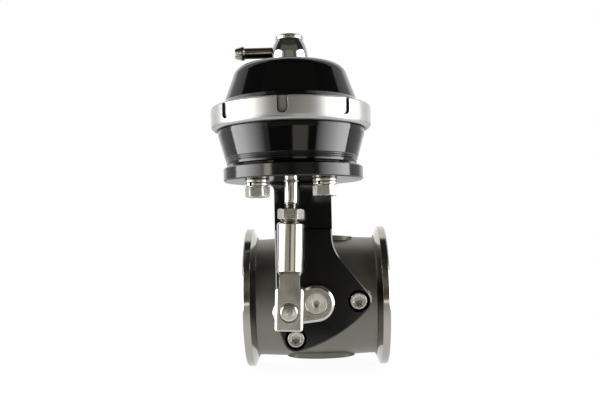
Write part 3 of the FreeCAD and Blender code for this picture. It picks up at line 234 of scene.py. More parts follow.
class Surface:
    """Quads over grids of points, kept until they are made one mesh."""

    def __init__(self) -> None:
        """Start with nothing."""
        self.points: list[Array] = []
        self.quads: list[Array] = []
        self.fans: list[Array] = []
        self.count = 0

    def grid(self, points: Array, ends: Ends) -> None:
        """Add a grid of quads whose rows go all the way round.

        Args:
            points: rows x columns x 3.
            ends: POLES closes the first and last row at their middles, LOOP joins the two.
        """
        rows, columns = points.shape[:2]
        index = self.count + np.arange(rows * columns).reshape(rows, columns)
        self.points.append(points.reshape(-1, 3))
        self.count += rows * columns
        wide = np.concatenate([index, index[:, :1]], 1)
        tall = np.concatenate([wide, wide[:1]], 0) if ends is Ends.LOOP else wide
        quads = np.stack([tall[:-1, :-1], tall[:-1, 1:], tall[1:, 1:], tall[1:, :-1]], -1)
        self.quads.append(quads.reshape(-1, 4))
        if ends is Ends.POLES:
            self.pole(index[0], points[0].mean(0), False)
            self.pole(index[-1], points[-1].mean(0), True)

    def pole(self, ring: Array, centre: Array, outward: bool) -> None:
        """Close a ring of vertices with triangles to a centre point.

        Args:
            ring: vertex numbers round the opening.
            centre: the point that the triangles meet at.
            outward: False turns the triangles over.
        """
        top = np.full(len(ring), self.count)
        self.points.append(centre.reshape(1, 3))
        self.count += 1
        after = np.roll(ring, -1)
        self.fans.append(np.stack([ring, after, top] if outward else [after, ring, top], -1))

    def rings(self, axis: Axis, radii: Array, heights: Array, ends: Ends) -> "Surface":
        """Add a stack of rings: the point at angle a of ring k is axis.place(r[k, a], a, h[k]).

        Args:
            axis: the stack's axis.
            radii: one radius for each ring, or rings x angles.
            heights: one height for each ring.
            ends: POLES closes both ends on the axis, LOOP joins the last ring to the first.

        Returns:
            This surface.
        """
        wide = radii if radii.ndim == 2 else radii[:, None]
        self.grid(axis.place(wide, ring_angles(ROUND), heights[:, None]), ends)
        return self

    def turned(self, axis: Axis, profile: Array, ends: Ends) -> "Surface":
        """Turn a profile, rows of (radius, height), about an axis."""
        return self.rings(axis, profile[:, 0], profile[:, 1], ends)

    def hoop(self, axis: Axis, radius: float, turn: Array, height: Array | float,
             section: Array) -> "Surface":
        """Carry a section round an axis, and close its two ends.

        Point k of the section lies, at step n, at the radius plus x[k], the angle turn[n] and
        the height h[n] plus y[k].

        Args:
            axis: the axis.
            radius: distance from the axis to the section's middle.
            turn: the angle of each step.
            height: the height of each step, or one for all.
            section: rows of (x, y) round the closed section.

        Returns:
            This surface.
        """
        levels = np.reshape(height, (-1, 1)) + section[:, 1]
        self.grid(axis.place(radius + section[:, 0], turn[:, None], levels), Ends.POLES)
        return self

    def piece(self, name: str, crease: float = 32.0) -> bpy.types.Object:
        """Make the object, smooth but for edges sharper than the crease angle.

        Args:
            name: the object's name.
            crease: angle in degrees from which an edge stays sharp.

        Returns:
            The new object, at the origin.
        """
        mesh = bpy.data.meshes.new(name)
        faces = np.concatenate(self.quads).tolist()
        if self.fans:
            faces += np.concatenate(self.fans).tolist()
        mesh.from_pydata(np.concatenate(self.points), [], faces)
        mesh.update()
        face_out(mesh)
        mesh.polygons.foreach_set("use_smooth", np.ones(len(mesh.polygons), dtype=bool))
        mesh.set_sharp_from_angle(angle=math.radians(crease))
        thing = bpy.data.objects.new(name, mesh)
        bpy.context.scene.collection.objects.link(thing)
        return thing


def face_out(mesh: bpy.types.Mesh) -> None:
    """Turn a closed mesh over where its signed volume, the sum of a . (b x c) / 6, is negative.

    Args:
        mesh: the mesh, all its shells wound the same way.
    """
    mesh.calc_loop_triangles()
    corners = np.empty(len(mesh.loop_triangles) * 3, dtype=np.int32)
    mesh.loop_triangles.foreach_get("vertices", corners)
    places = np.empty(len(mesh.vertices) * 3)
    mesh.vertices.foreach_get("co", places)
    a, b, c = places.reshape(-1, 3)[corners.reshape(-1, 3)].transpose(1, 0, 2)
    if np.einsum("ij,ij->i", a, np.cross(b, c)).sum() < 0:
        mesh.flip_normals()


# ------------------------------------------------------------------ nodes

class Nodes:
    """A node tree that is filled in short steps."""

    def __init__(self, tree: bpy.types.NodeTree) -> None:
        """Work on a tree."""
        self.tree = tree

    def add(self, kind: str, **settings: object) -> Node:
        """Add a node and set its properties.

        Args:
            kind: the node's type.
            **settings: the properties.

        Returns:
            The new node.
        """
        node = self.tree.nodes.new(kind)
        for key, value in settings.items():
            setattr(node, key, value)
        return node

    def feed(self, node: Node, **values: object) -> Node:
        """Set or link a node's inputs, each named with _ for a space or numbered i0, i1 and on.

        Args:
            node: the node to feed.
            **values: an output to link, or a plain value, for each input.

        Returns:
            The same node.
        """
        for key, value in values.items():
            name = key.replace("_", " ")
            slot = node.inputs[int(key[1:])] if key[1:].isdigit() else node.inputs[name]
            if isinstance(value, Socket):
                self.tree.links.new(value, slot)
            else:
                slot.default_value = value
        return node

    def math(self, operation: str, first: object, second: object = 0.0) -> Socket:
        """One arithmetic step on two numbers."""
        node = self.add("ShaderNodeMath", operation=operation)
        return self.feed(node, i0=first, i1=second).outputs[0]

    def rest(self, value: Socket) -> Socket:
        """1 less a value."""
        return self.math("SUBTRACT", 1.0, value)

    def average(self, first: Socket, second: Socket) -> Socket:
        """Half the sum of two values."""
        return self.math("MULTIPLY", self.math("ADD", first, second), 0.5)

    def parts(self, vector: Socket) -> tuple[Socket, ...]:
        """X, Y and Z of a vector."""
        return tuple(self.feed(self.add("ShaderNodeSeparateXYZ"), i0=vector).outputs)

    def ramp(self, value: Socket, start: float, end: float, low: float = 0.0,
             high: float = 1.0, **settings: object) -> Socket:
        """Low where a value is under the start, high where it is past the end, even between.

        Args:
            value: the value that is read.
            start: where the run begins.
            end: where the run ends.
            low: the result at the start.
            high: the result at the end.
            **settings: properties of the node.

        Returns:
            The result.
        """
        node = self.add("ShaderNodeMapRange", **settings)
        self.feed(node, Value=value, From_Min=start, From_Max=end, To_Min=low, To_Max=high)
        return node.outputs["Result"]

    def mix(self, factor: object, first: object, second: object) -> Socket:
        """Mix of two numbers."""
        return self.feed(self.add("ShaderNodeMix"), i0=factor, i2=first, i3=second).outputs[0]

    def blend(self, factor: object, first: object, second: object) -> Socket:
        """Mix of two colours.

        Args:
            factor: share of the second colour.
            first: three numbers or an output.
            second: three numbers or an output.

        Returns:
            The mixed colour.
        """
        node = self.add("ShaderNodeMix", data_type="RGBA")
        for slot, colour in (("i6", first), ("i7", second)):
            self.feed(node, **{slot: colour if isinstance(colour, Socket) else (*colour, 1)})
        return self.feed(node, i0=factor).outputs[2]


class Shader(Nodes):
    """Nodes of one material, with its Principled shader and the object's own coordinates."""

    def __init__(self, name: str) -> None:
        """Make an empty tree with the shader and the coordinates.

        Args:
            name: the material's name.
        """
        self.material = bpy.data.materials.new(name)
        self.material.use_nodes = True
        super().__init__(self.material.node_tree)
        self.tree.nodes.clear()
        self.surface = self.add("ShaderNodeBsdfPrincipled")
        self.output = self.add("ShaderNodeOutputMaterial")
        self.feed(self.output, Surface=self.surface.outputs["BSDF"])
        self.place = self.add("ShaderNodeTexCoord").outputs["Object"]

    def vector(self, operation: str, first: Socket, second: object, out: str = "Vector") -> Socket:
        """One vector step; out names the result to use."""
        node = self.add("ShaderNodeVectorMath", operation=operation)
        return self.feed(node, i0=first, i1=second).outputs[out]

    def length(self, vector: Socket) -> Socket:
        """Length of a vector."""
        return self.vector("LENGTH", vector, BLACK, "Value")

    def noise(self, waves: float, detail: float, vector: Socket | None = None,
              roughness: float = 0.5) -> Socket:
        """Cloudy noise from 0 to 1.

        Args:
            waves: how many waves go in a metre.
            detail: how many finer layers it has.
            vector: what it is read over, if not the object's coordinates.
            roughness: how strong the finer layers are.

        Returns:
            The noise.
        """
        node = self.add("ShaderNodeTexNoise")
        self.feed(node, Vector=self.place if vector is None else vector, Scale=waves,
                  Detail=detail, Roughness=roughness)
        return node.outputs["Fac"]

    def scratches(self, waves: Point) -> Socket:
        """Noise with so many waves in a metre along X, Y and Z, drawn out where they are few."""
        return self.noise(1.0, 3.0, self.vector("MULTIPLY", self.place, waves))

    def rings(self, axis: Axis, pitch: float) -> Socket:
        """Fine uneven lathe lines: noise over the sum of height along and distance from an axis.

        Args:
            axis: the axis that the piece was turned about.
            pitch: length of one line.

        Returns:
            A number from 0 to 1.
        """
        from_origin = self.vector("SUBTRACT", self.place, axis.origin)
        along = tuple(axis.square()[2])
        height = self.vector("DOT_PRODUCT", from_origin, along, "Value")
        radius = self.length(self.vector("CROSS_PRODUCT", from_origin, along))
        run = self.math("ADD", self.math("MULTIPLY", height, 1.0 / pitch),
                        self.math("MULTIPLY", radius, 1.0 / pitch))
        node = self.add("ShaderNodeTexNoise", noise_dimensions="1D")
        return self.feed(node, W=run, Scale=1.0, Detail=3.0, Roughness=0.6).outputs["Fac"]

    def spread(self, noise: Socket, low: float = 0.0, high: float = 1.0) -> Socket:
        """Stretch the middle half of a noise over low to high."""
        return self.ramp(noise, 0.25, 0.75, low, high)

    def beyond(self, value: Socket, limit: float, fade: float) -> Socket:
        """1 where a value is over a limit and 0 under it, fading over a short run."""
        return self.ramp(value, limit - fade / 2, limit + fade / 2)

    def eased(self, radius: float) -> Socket:
        """Normals that turn smoothly over every edge, within a radius."""
        return self.feed(self.add("ShaderNodeBevel", samples=6), Radius=radius).outputs[0]

    def open_share(self, reach: float, samples: int) -> Socket:
        """Share of a point's surroundings with no wall within the reach."""
        node = self.add("ShaderNodeAmbientOcclusion", samples=samples)
        return self.feed(node, Distance=reach).outputs["AO"]

    def painted_shade(self, colour: Socket, reach: float, depth: float) -> Socket:
        """Painted shade: darken a colour in sockets, slots and joints, where walls close in.

        Args:
            colour: the colour out in the open.
            reach: how far a wall counts.
            depth: how strongly a closed-in place darkens.

        Returns:
            The colour times the open share of its surroundings, raised to the depth.
        """
        return self.blend(self.math("POWER", self.open_share(reach, 6), depth), BLACK, colour)

    def relief(self, height: Socket, depth: float, under: Socket | None = None) -> Socket:
        """Bump over a surface.

        Args:
            height: the relief, from 0 to 1.
            depth: how many metres a height of 1 stands for.
            under: the normals that it is laid over, if not the mesh's own.

        Returns:
            The new normals.
        """
        node = self.feed(self.add("ShaderNodeBump"), Height=height, Distance=depth, Strength=1.0)
        if under is not None:
            self.feed(node, Normal=under)
        return node.outputs["Normal"]


# ------------------------------------------------------------------ finishes

@dataclass(frozen=True)
class Finish:
    """What every finish has.

    Attributes:
        name: the finish's name.
        colour: the middle colour, linear.
        roughness: the middle roughness.
        metallic: 1 for bare metal and plating, 0 for coats and rubber.
        edge: how far its edges are broken.
        tint: how far its tones lie from the middle colour, as a share.
        swing: its lowest and highest roughness, as shares of the middle one.
        cloud: how many waves of its broad drift go in a metre.
    """

    name: str
    colour: Colour
    roughness: float = 0.3
    metallic: float = 1.0
    edge: float = 0.2 * MM
    tint: float = 0.10
    swing: Span = (0.9, 1.1)
    cloud: float = 90.0

    @property
    def label(self) -> str:
        """The material's name, kept apart from the plain materials that come with the frame."""
        return f"{self.name}_finish"

    def toned(self, shader: Shader, factor: Socket) -> Socket:
        """The colour, between a darker and a lighter tone of it.

        Args:
            shader: the shader that is painted.
            factor: 0 for the darker tone and 1 for the lighter.

        Returns:
            The colour.
        """
        return shader.blend(factor, tuple(part * (1 - self.tint) for part in self.colour),
                            tuple(min(1.0, part * (1 + self.tint)) for part in self.colour))

    def rough(self, shader: Shader, noise: Socket) -> Socket:
        """The roughness, swinging with a noise."""
        low, high = self.swing
        return shader.spread(noise, self.roughness * low, self.roughness * high)

    def worn(self, shader: Shader, height: Socket, depth: float) -> Socket:
        """Normals with broken edges and a relief over them."""
        return shader.relief(height, depth, shader.eased(self.edge))

    def material(self) -> bpy.types.Material:
        """The finish as a material, made once.

        Returns:
            The material.
        """
        made = bpy.data.materials.get(self.label)
        if made is None:
            shader = Shader(self.label)
            shader.feed(shader.surface, Metallic=self.metallic)
            self.paint(shader)
            made = shader.material
        return made

    def paint(self, shader: Shader) -> None:
        """Fill the shader; each finish has its own way.

        Args:
            shader: the shader to fill.
        """
        raise NotImplementedError


@dataclass(frozen=True)
class Turned(Finish):
    """Metal off a lathe: fine rings about its axis, and slow drifts of tone.

    Attributes:
        axis: what it was turned about.
        pitch: length of one tool line.
        depth: depth of the lines.
        reach: how far a wall counts for the painted shade in a groove.
        shade: how strongly the painted shade darkens a groove.
    """

    swing: Span = (0.75, 1.35)
    axis: Axis = Axis((0.0, 0.0, 0.0))
    pitch: float = 0.25 * MM
    depth: float = 0.004 * MM
    reach: float = 0.8 * MM
    shade: float = 2.2

    def paint(self, shader: Shader) -> None:
        """Rings drive tone, roughness and relief; broad noise drifts the tone; painted shade
        darkens the grooves.

        Args:
            shader: the shader to fill.
        """
        rings = shader.rings(self.axis, self.pitch)
        tone = shader.average(rings, shader.noise(self.cloud, 3.0))
        # painted shade: the colour darkens where walls close in round a groove
        colour = shader.painted_shade(self.toned(shader, tone), self.reach, self.shade)
        shader.feed(shader.surface, Base_Color=colour, Roughness=self.rough(shader, rings),
                    Normal=self.worn(shader, rings, self.depth))


@dataclass(frozen=True)
class Milled(Turned):
    """Turned metal whose lower part has rubbed flats.

    Attributes:
        level: height in the frame under which the flats begin.
        fade: over which height they begin.
        rubbed: lowest and highest roughness of the flats.
        scratch: waves in a metre of their scratches, along X, Y and Z.
    """

    tint: float = 0.12
    swing: Span = (0.8, 1.3)
    cloud: float = 170.0
    level: float = 0.0
    fade: float = 2.0 * MM
    rubbed: Span = (0.154, 0.264)
    scratch: Point = (5000.0, 5000.0, 260.0)

    def paint(self, shader: Shader) -> None:
        """Rings above the level; below it, scratches along Z over broad smudges.

        Args:
            shader: the shader to fill.
        """
        upper = shader.beyond(shader.parts(shader.place)[2], self.level, self.fade)
        rings = shader.rings(self.axis, self.pitch)
        rubs = shader.average(shader.scratches(self.scratch), shader.noise(self.cloud, 4.0))
        lines = shader.mix(upper, rubs, rings)
        rough = shader.mix(upper, shader.spread(rubs, *self.rubbed), self.rough(shader, rings))
        shader.feed(shader.surface, Base_Color=self.toned(shader, lines), Roughness=rough,
                    Normal=self.worn(shader, lines, self.depth))


@dataclass(frozen=True)
class Blasted(Finish):
    """Bead-blasted metal: an even fine grain with warm and grey patches.

    Attributes:
        grain: size of one dimple.
        depth: depth of the dimples.
        warm: the colour that the patches lean to.
        speckle: share of the tone that follows the grain and not the patches.
        reach: how far a wall counts for the painted shade in a joint.
        shade: how strongly the painted shade darkens a joint.
    """

    swing: Span = (0.85, 1.15)
    cloud: float = 38.0
    grain: float = 0.35 * MM
    depth: float = 0.03 * MM
    warm: Colour = (0.2, 0.18, 0.15)
    speckle: float = 0.35
    reach: float = 2.0 * MM
    shade: float = 1.2

    def dimpled(self, shader: Shader) -> tuple[Socket, Socket]:
        """Fine noise gives the dimples, broad noise the patches.

        Args:
            shader: the shader that is painted.

        Returns:
            The dimples and the colour.
        """
        dimples = shader.noise(1.0 / self.grain, 2.0, roughness=0.7)
        patches = shader.spread(shader.noise(self.cloud, 3.0))
        specks = shader.math("MULTIPLY", shader.spread(dimples), self.speckle)
        tone = shader.math("ADD", shader.math("MULTIPLY", patches, 1 - self.speckle), specks)
        return dimples, shader.blend(tone, self.warm, self.colour)

    def paint(self, shader: Shader) -> None:
        """Dimples all over, with painted shade darkening the joints.

        Args:
            shader: the shader to fill.
        """
        dimples, colour = self.dimpled(shader)
        # painted shade: the colour darkens where walls close in round a joint
        colour = shader.painted_shade(colour, self.reach, self.shade)
        shader.feed(shader.surface, Base_Color=colour, Roughness=self.rough(shader, dimples),
                    Normal=self.worn(shader, dimples, self.depth))


@dataclass(frozen=True)
class Casting(Blasted):
    """Blasted casting with its flanges, bore and boss faces machined bright.

    Attributes:
        machined: darker and lighter tone of the machined faces.
        polish: lowest and highest roughness of the machined faces.
        pitch: length of one tool line.
        line: depth of the tool lines.
        flange: half the length between the flanges' inner edges.
        end: distance from the middle past which a flange's end face begins.
        barrel: radius past which a flange stands out of the barrel.
        bore: radius of the bore.
        boss: distance from the middle to the boss faces.
    """

    machined: tuple[Colour, Colour] = ((0.36, 0.35, 0.315), (0.4032, 0.392, 0.3528))
    polish: Span = (0.09, 0.15)
    pitch: float = 0.3 * MM
    line: float = 0.002 * MM
    flange: float = 29.5 * MM
    end: float = 36.3 * MM
    barrel: float = 31.8 * MM
    bore: float = 25.3 * MM
    boss: float = 35.2 * MM

    def machined_faces(self, shader: Shader) -> Socket:
        """Mask of the flanges' rims and ends, the bore and the boss faces.

        Args:
            shader: the shader that is painted.

        Returns:
            1 on the machined faces and 0 elsewhere.
        """
        x, y, _ = shader.parts(shader.place)
        along, across = shader.math("ABSOLUTE", x), shader.math("ABSOLUTE", y)
        radius = shader.length(shader.vector("MULTIPLY", shader.place, (0.0, 1.0, 1.0)))
        flanges = shader.beyond(along, self.flange, 0.3 * MM)
        rims = shader.math("MULTIPLY", flanges, shader.beyond(radius, self.barrel, 0.3 * MM))
        ends = shader.beyond(along, self.end, 0.2 * MM)
        inside = shader.rest(shader.beyond(radius, self.bore, 0.1 * MM))
        pads = shader.math("MULTIPLY", shader.beyond(across, self.boss, 0.1 * MM),
                           shader.rest(flanges))
        return shader.math("MAXIMUM", shader.math("MAXIMUM", rims, ends),
                           shader.math("MAXIMUM", inside, pads))

    def paint(self, shader: Shader) -> None:
        """The mask picks tool rings on the machined faces and dimples elsewhere.

        Args:
            shader: the shader to fill.
        """
        mask = self.machined_faces(shader)
        dimples, cast = self.dimpled(shader)
        rings = shader.rings(Axis((0.0, 0.0, 0.0), (1.0, 0.0, 0.0)), self.pitch)
        colour = shader.blend(mask, cast, shader.blend(rings, *self.machined))
        rough = shader.mix(mask, self.rough(shader, dimples), shader.spread(rings, *self.polish))
        grain = shader.math("MULTIPLY", dimples, shader.rest(mask))
        lines = shader.math("MULTIPLY", rings, mask)
        height = shader.math("ADD", shader.math("MULTIPLY", grain, self.depth),
                             shader.math("MULTIPLY", lines, self.line))
        shader.feed(shader.surface, Base_Color=colour, Roughness=rough,
                    Normal=self.worn(shader, height, 1.0))


@dataclass(frozen=True)
class Brushed(Finish):
    """Metal rubbed one way: long thin scratches and a few smudges.

    Attributes:
        scratch: waves in a metre along X, Y and Z, few of them along the rubbing.
        depth: depth of the scratches.
    """

    tint: float = 0.14
    swing: Span = (0.7, 1.3)
    cloud: float = 160.0
    scratch: Point = (400.0, 400.0, 6000.0)
    depth: float = 0.003 * MM

    def paint(self, shader: Shader) -> None:
        """Stretched noise gives the scratches; broad noise smudges tone and roughness.

        Args:
            shader: the shader to fill.
        """
        scratches = shader.scratches(self.scratch)
        rubs = shader.average(scratches, shader.noise(self.cloud, 2.0))
        shader.feed(shader.surface, Base_Color=self.toned(shader, rubs),
                    Roughness=self.rough(shader, rubs),
                    Normal=self.worn(shader, scratches, self.depth))


@dataclass(frozen=True)
class Coated(Finish):
    """Black anodised or painted metal: faint tool rings under a clear, even sheen.

    Attributes:
        axis: what the metal below was turned about.
        ior: index of the coat, which sets how much it mirrors.
        pitch: length of one tool line.
        depth: depth of the lines.
        texture: how many waves of the coat's own texture go in a metre.
        grain: depth of that texture.
        reach: how far a wall counts in a narrow groove, where painted shade takes the sheen away.
        painted_shade_at: the open share of the surroundings at which the painted shade has taken
            half the sheen away.
        fade: the run of open shares over which it is lost.
    """

    metallic: float = 0.0
    tint: float = 0.25
    swing: Span = (0.85, 1.2)
    cloud: float = 55.0
    axis: Axis = Axis((0.0, 0.0, 0.0))
    ior: float = 1.7
    pitch: float = 0.5 * MM
    depth: float = 0.002 * MM
    texture: float = 2200.0
    grain: float = 0.001 * MM
    reach: float = 1.6 * MM
    painted_shade_at: float = 0.66
    fade: float = 0.16

    def paint(self, shader: Shader) -> None:
        """Rings and a fine grain share the relief; noise varies the sheen, and painted shade takes
        it away in narrow grooves.

        Args:
            shader: the shader to fill.
        """
        rings = shader.rings(self.axis, self.pitch)
        relief = shader.relief(shader.noise(self.texture, 2.0), self.grain,
                               self.worn(shader, rings, self.depth))
        # painted shade: where walls close in, the coat turns metallic over its near-black colour,
        # which blacks out its reflection
        share = shader.open_share(self.reach, 8)
        shader.feed(shader.surface, Base_Color=self.toned(shader, rings), IOR=self.ior,
                    Roughness=self.rough(shader, shader.noise(self.cloud, 3.0)), Normal=relief,
                    Metallic=shader.rest(shader.beyond(share, self.painted_shade_at, self.fade)))


@dataclass(frozen=True)
class Plated(Finish):
    """Bright plating: mirror-like, with a faint waviness and fine rub marks.

    Attributes:
        wave: depth of the waviness.
        marks: how many rub marks go in a metre.
        reach: how far a wall counts for the painted shade in a joint.
        shade: how strongly the painted shade darkens a joint.
    """

    tint: float = 0.06
    cloud: float = 260.0
    wave: float = 0.01 * MM
    marks: float = 1500.0
    reach: float = 2.5 * MM
    shade: float = 0.8

    def paint(self, shader: Shader) -> None:
        """Broad noise makes the waviness; fine noise makes the rub marks in the roughness; painted
        shade darkens the joints.

        Args:
            shader: the shader to fill.
        """
        waves = shader.noise(self.cloud, 1.0)
        # painted shade: the colour darkens where walls close in round a joint
        colour = shader.painted_shade(self.toned(shader, waves), self.reach, self.shade)
        shader.feed(shader.surface, Base_Color=colour,
                    Roughness=self.rough(shader, shader.noise(self.marks, 3.0)),
                    Normal=self.worn(shader, waves, self.wave))


@dataclass(frozen=True)
class Rubber(Finish):
    """Cloth-backed rubber or packing: dull, with a fine slanting weave in relief.

    Attributes:
        weave: how many threads go in a metre.
        depth: depth of the weave.
    """

    metallic: float = 0.0
    tint: float = 0.3
    cloud: float = 300.0
    weave: float = 900.0
    depth: float = 0.01 * MM

    def paint(self, shader: Shader) -> None:
        """A slanting wave, bent by noise, makes the weave; noise clouds the colour.

        Args:
            shader: the shader to fill.
        """
        weave = shader.add("ShaderNodeTexWave", bands_direction="DIAGONAL")
        shader.feed(weave, Vector=shader.place, Scale=self.weave, Distortion=1.5, Detail=1.0)
        cloud = shader.noise(self.cloud, 3.0)
        shader.feed(shader.surface, Base_Color=self.toned(shader, cloud),
                    Roughness=self.rough(shader, cloud),
                    Normal=shader.relief(weave.outputs["Fac"], self.depth))


@dataclass(frozen=True)
class Palette:
    """All the finishes of the wastegate, set about its own axes.

    Attributes:
        actuator: upright axis of the actuator.
        pushrod: axis of the leaning pushrod, its origin at the clevis pin.
        pin: axis of the clevis pin.
        pipe: axis of the pipe.
        shaft: axis of the butterfly's shaft.
    """

    actuator: Axis
    pushrod: Axis
    pin: Axis
    pipe: Axis = Axis((0.0, 0.0, 0.0), (1.0, 0.0, 0.0))
    shaft: Axis = Axis((0.0, 0.0, 0.0), (0.0, -1.0, 0.0))

    def casting(self) -> Finish:
        """Pipe body, a blasted stainless casting."""
        return Casting("cast_stainless", (0.22, 0.215, 0.19), 0.42, warm=(0.17, 0.16, 0.135),
                       edge=0.4 * MM)

    def gloss_black(self) -> Finish:
        """Cap and housing."""
        return Coated("gloss_black_anodised", (0.0012, 0.0013, 0.0012), 0.09,
                      axis=self.actuator, ior=1.59, depth=0.0004 * MM, grain=0.0002 * MM)

    def satin_black(self) -> Finish:
        """Bracket."""
        return Coated("satin_black", (0.0012, 0.0014, 0.0012), 0.14, axis=self.actuator,
                      ior=1.6, depth=0.0006 * MM, grain=0.0006 * MM, edge=0.1 * MM)

    def silver(self) -> Finish:
        """Locking collar; reach and shade set the painted shade in its slots."""
        return Turned("silver_anodised", (0.52, 0.525, 0.51), 0.34, axis=self.actuator,
                      pitch=0.3 * MM, depth=0.0008 * MM, reach=3.0 * MM, shade=3.3)

    def polished(self) -> Finish:
        """Pushrod."""
        return Turned("polished_steel", (0.64, 0.62, 0.57), 0.11, axis=self.pushrod,
                      pitch=0.2 * MM, depth=0.0006 * MM, edge=0.02 * MM)

    def clevis_steel(self) -> Finish:
        """Clevis, turned and then polished on its flats."""
        return Milled("clevis_steel", (0.60, 0.585, 0.53), 0.13, axis=self.pushrod,
                      pitch=0.2 * MM, depth=0.001 * MM, level=14.5 * MM)

    def pin_steel(self) -> Finish:
        """Clevis pin, turned about its own axis."""
        return Turned("pin_steel", (0.66, 0.64, 0.60), 0.20, axis=self.pin, pitch=0.3 * MM,
                      depth=0.006 * MM, edge=0.05 * MM)

    def lever_steel(self) -> Finish:
        """Lever."""
        return Brushed("brushed_steel", (0.56, 0.54, 0.50), 0.22)

    def shaft_steel(self) -> Finish:
        """Shaft, plug and rod bush."""
        return Turned("shaft_steel", (0.60, 0.58, 0.55), 0.22, axis=self.shaft)

    def disc_steel(self) -> Finish:
        """Butterfly disc."""
        return Turned("disc_steel", (0.52, 0.50, 0.47), 0.32, axis=self.pipe, pitch=0.35 * MM)

    def bright(self) -> Finish:
        """Nuts, bolts, washers and bright screws."""
        return Plated("bright_steel", (0.60, 0.59, 0.54), 0.27, wave=0.0012 * MM,
                      edge=0.04 * MM)

    def grainy(self) -> Finish:
        """Head of the lever screw."""
        return Blasted("blasted_steel", (0.86, 0.84, 0.78), 0.45, grain=0.45 * MM,
                       depth=0.05 * MM, warm=(0.56, 0.54, 0.47), edge=0.04 * MM, speckle=0.8)

    def oxide(self) -> Finish:
        """Hidden black screw."""
        return Coated("black_oxide_steel", (0.02, 0.02, 0.021), 0.35, ior=1.9)

    def spring(self) -> Finish:
        """Springs and clip."""
        return Brushed("spring_steel", (0.22, 0.21, 0.20), 0.35,
                       scratch=(900.0, 900.0, 5000.0))

    def plain(self) -> Finish:
        """Piston parts and the swivel's seals."""
        return Turned("plain_aluminium", (0.70, 0.70, 0.71), 0.28, axis=self.pushrod)

    def chrome(self) -> Finish:
        """Swivel on the cap and its bolt."""
        return Plated("chrome_plate", (0.66, 0.66, 0.65), 0.05, wave=0.004 * MM,
                      edge=0.05 * MM)

    def nickel(self) -> Finish:
        """Hose barbs."""
        return Plated("dark_nickel", (0.33, 0.305, 0.26), 0.11, wave=0.004 * MM,
                      edge=0.05 * MM)

    def bronze(self) -> Finish:
        """Bushes and thrust washer."""
        return Turned("bronze", (0.55, 0.40, 0.22), 0.28, axis=self.shaft)

    def packing(self) -> Finish:
        """Shaft and rod seals."""
        return Rubber("packing", (0.03, 0.03, 0.03), 0.6)

    def diaphragm(self) -> Finish:
        """Diaphragm."""
        return Rubber("diaphragm_rubber", (0.025, 0.025, 0.027), 0.55)


def dress(thing: bpy.types.Object, finish: Finish) -> None:
    """Put one finish on every slot of an object."""
    thing.data.materials.clear()
    thing.data.materials.append(finish.material())


def settle(thing: bpy.types.Object, finish: Finish, body: Body, node: str) -> None:
    """Dress a new piece, let it ride, and let it stand for its frame node.

    Args:
        thing: the new piece.
        finish: its finish.
        body: the body that it moves with.
        node: the frame node that it stands for.
    """
    dress(thing, finish)
    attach(thing, body.value)
    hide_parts(node)
    LOG.info("piece %s: %d faces on %s", thing.name, len(thing.data.polygons), body.value)


# ------------------------------------------------------------------ stock shapes

CHAMFER_RUN = np.array([0.0, 0.16, 0.32, 0.47, 0.62]) * MM    # rings next to a hexagon's end


def stack(*parts: tuple[Array, Array] | Array) -> tuple[Array, Array]:
    """Join runs of rings into one stack.

    Args:
        *parts: pairs of radii and heights, each radii array rings or rings x angles.

    Returns:
        Radii as rings x angles, and one height for each ring.
    """
    radii = [np.broadcast_to(r if r.ndim == 2 else r[:, None], (len(h), ROUND)) for r, h in parts]
    return np.concatenate(radii), np.concatenate([h for _, h in parts])


def hexagon_end(across_flats: float, level: float, upper: bool,
                twist: float) -> tuple[Array, Array]:
    """Rings next to a hexagon's end, whose corners a 30 degree cone takes off.

    The radius is the lesser of the hexagon's own and 0.475 of its width plus 1.73 times the
    distance from the end, which leaves the arcs that a turned chamfer cuts on each flat.

    Args:
        across_flats: the hexagon's width.
        level: height of the end.
        upper: True for the end that the hexagon rises to.
        twist: angle of a flat's middle.

    Returns:
        Radii as rings x angles, and the rings' rising heights.
    """
    run = CHAMFER_RUN[::-1] if upper else CHAMFER_RUN
    cone = 0.475 * across_flats + 1.73 * run
    radii = np.minimum(hexagon_radius(across_flats, twist)[None], cone[:, None])
    return radii, level - run if upper else level + run


@dataclass(frozen=True)
class SocketScrew:
    """Screw with a hexagon socket, measured from the face of its head.

    Attributes:
        radius: the shank's radius.
        head: the head's radius.
        height: how tall the head is.
        socket: the socket's width across flats.
        length: the shank's length below the head, or the whole length of a sunk screw.
        sunk: True for a cone head.
        point: how far the shank's end is chamfered.
        rim: how far a straight head's rim is chamfered; a cone head's rim is by half as much.
    """

    radius: float
    head: float
    height: float
    socket: float
    length: float
    sunk: bool = False
    point: float = 0.5 * MM
    rim: float = 0.5 * MM

    def outline(self) -> Array:
        """Corners of the outside.

        Returns:
            Rows of (radius, height), from the shank's end to the socket's mouth.
        """
        end = -self.length if self.sunk else -self.height - self.length
        corners = [(self.radius - self.point, end), (self.radius, end + self.point)]
        land = self.rim / 10
        if self.sunk:
            corners += [(self.radius, self.radius - self.head), (self.head - land, -land),
                        (self.head - self.rim / 2, 0.0)]
        else:
            corners += [(self.radius, -self.height), (self.head, -self.height),
                        (self.head, -self.rim - land), (self.head - self.rim, 0.0)]
        mouth = self.socket * 0.66
        return np.array(corners + [(mouth, 0.0)])

    def add(self, surface: Surface, axis: Axis, twist: float = 0.0) -> None:
        """Add the screw: shank, head, eased rim, then down the hexagon to a cone point.

        Args:
            surface: the surface to add to.
            axis: through the head's face, pointing out of it.
            twist: how far the socket is turned.
        """
        depth = min(self.height * 0.55, self.socket)
        walls = np.array([-0.25 * MM, -0.3 * MM, -depth])
        floor = np.array([(self.socket * 0.46, -depth), (0.15 * MM, -depth - self.socket * 0.22)])
        radii, heights = stack(soften(self.outline(), 0.2 * MM).T,
                               (hexagon_radius(self.socket, twist)[None], walls), floor.T)
        surface.rings(axis, radii, heights, Ends.POLES)


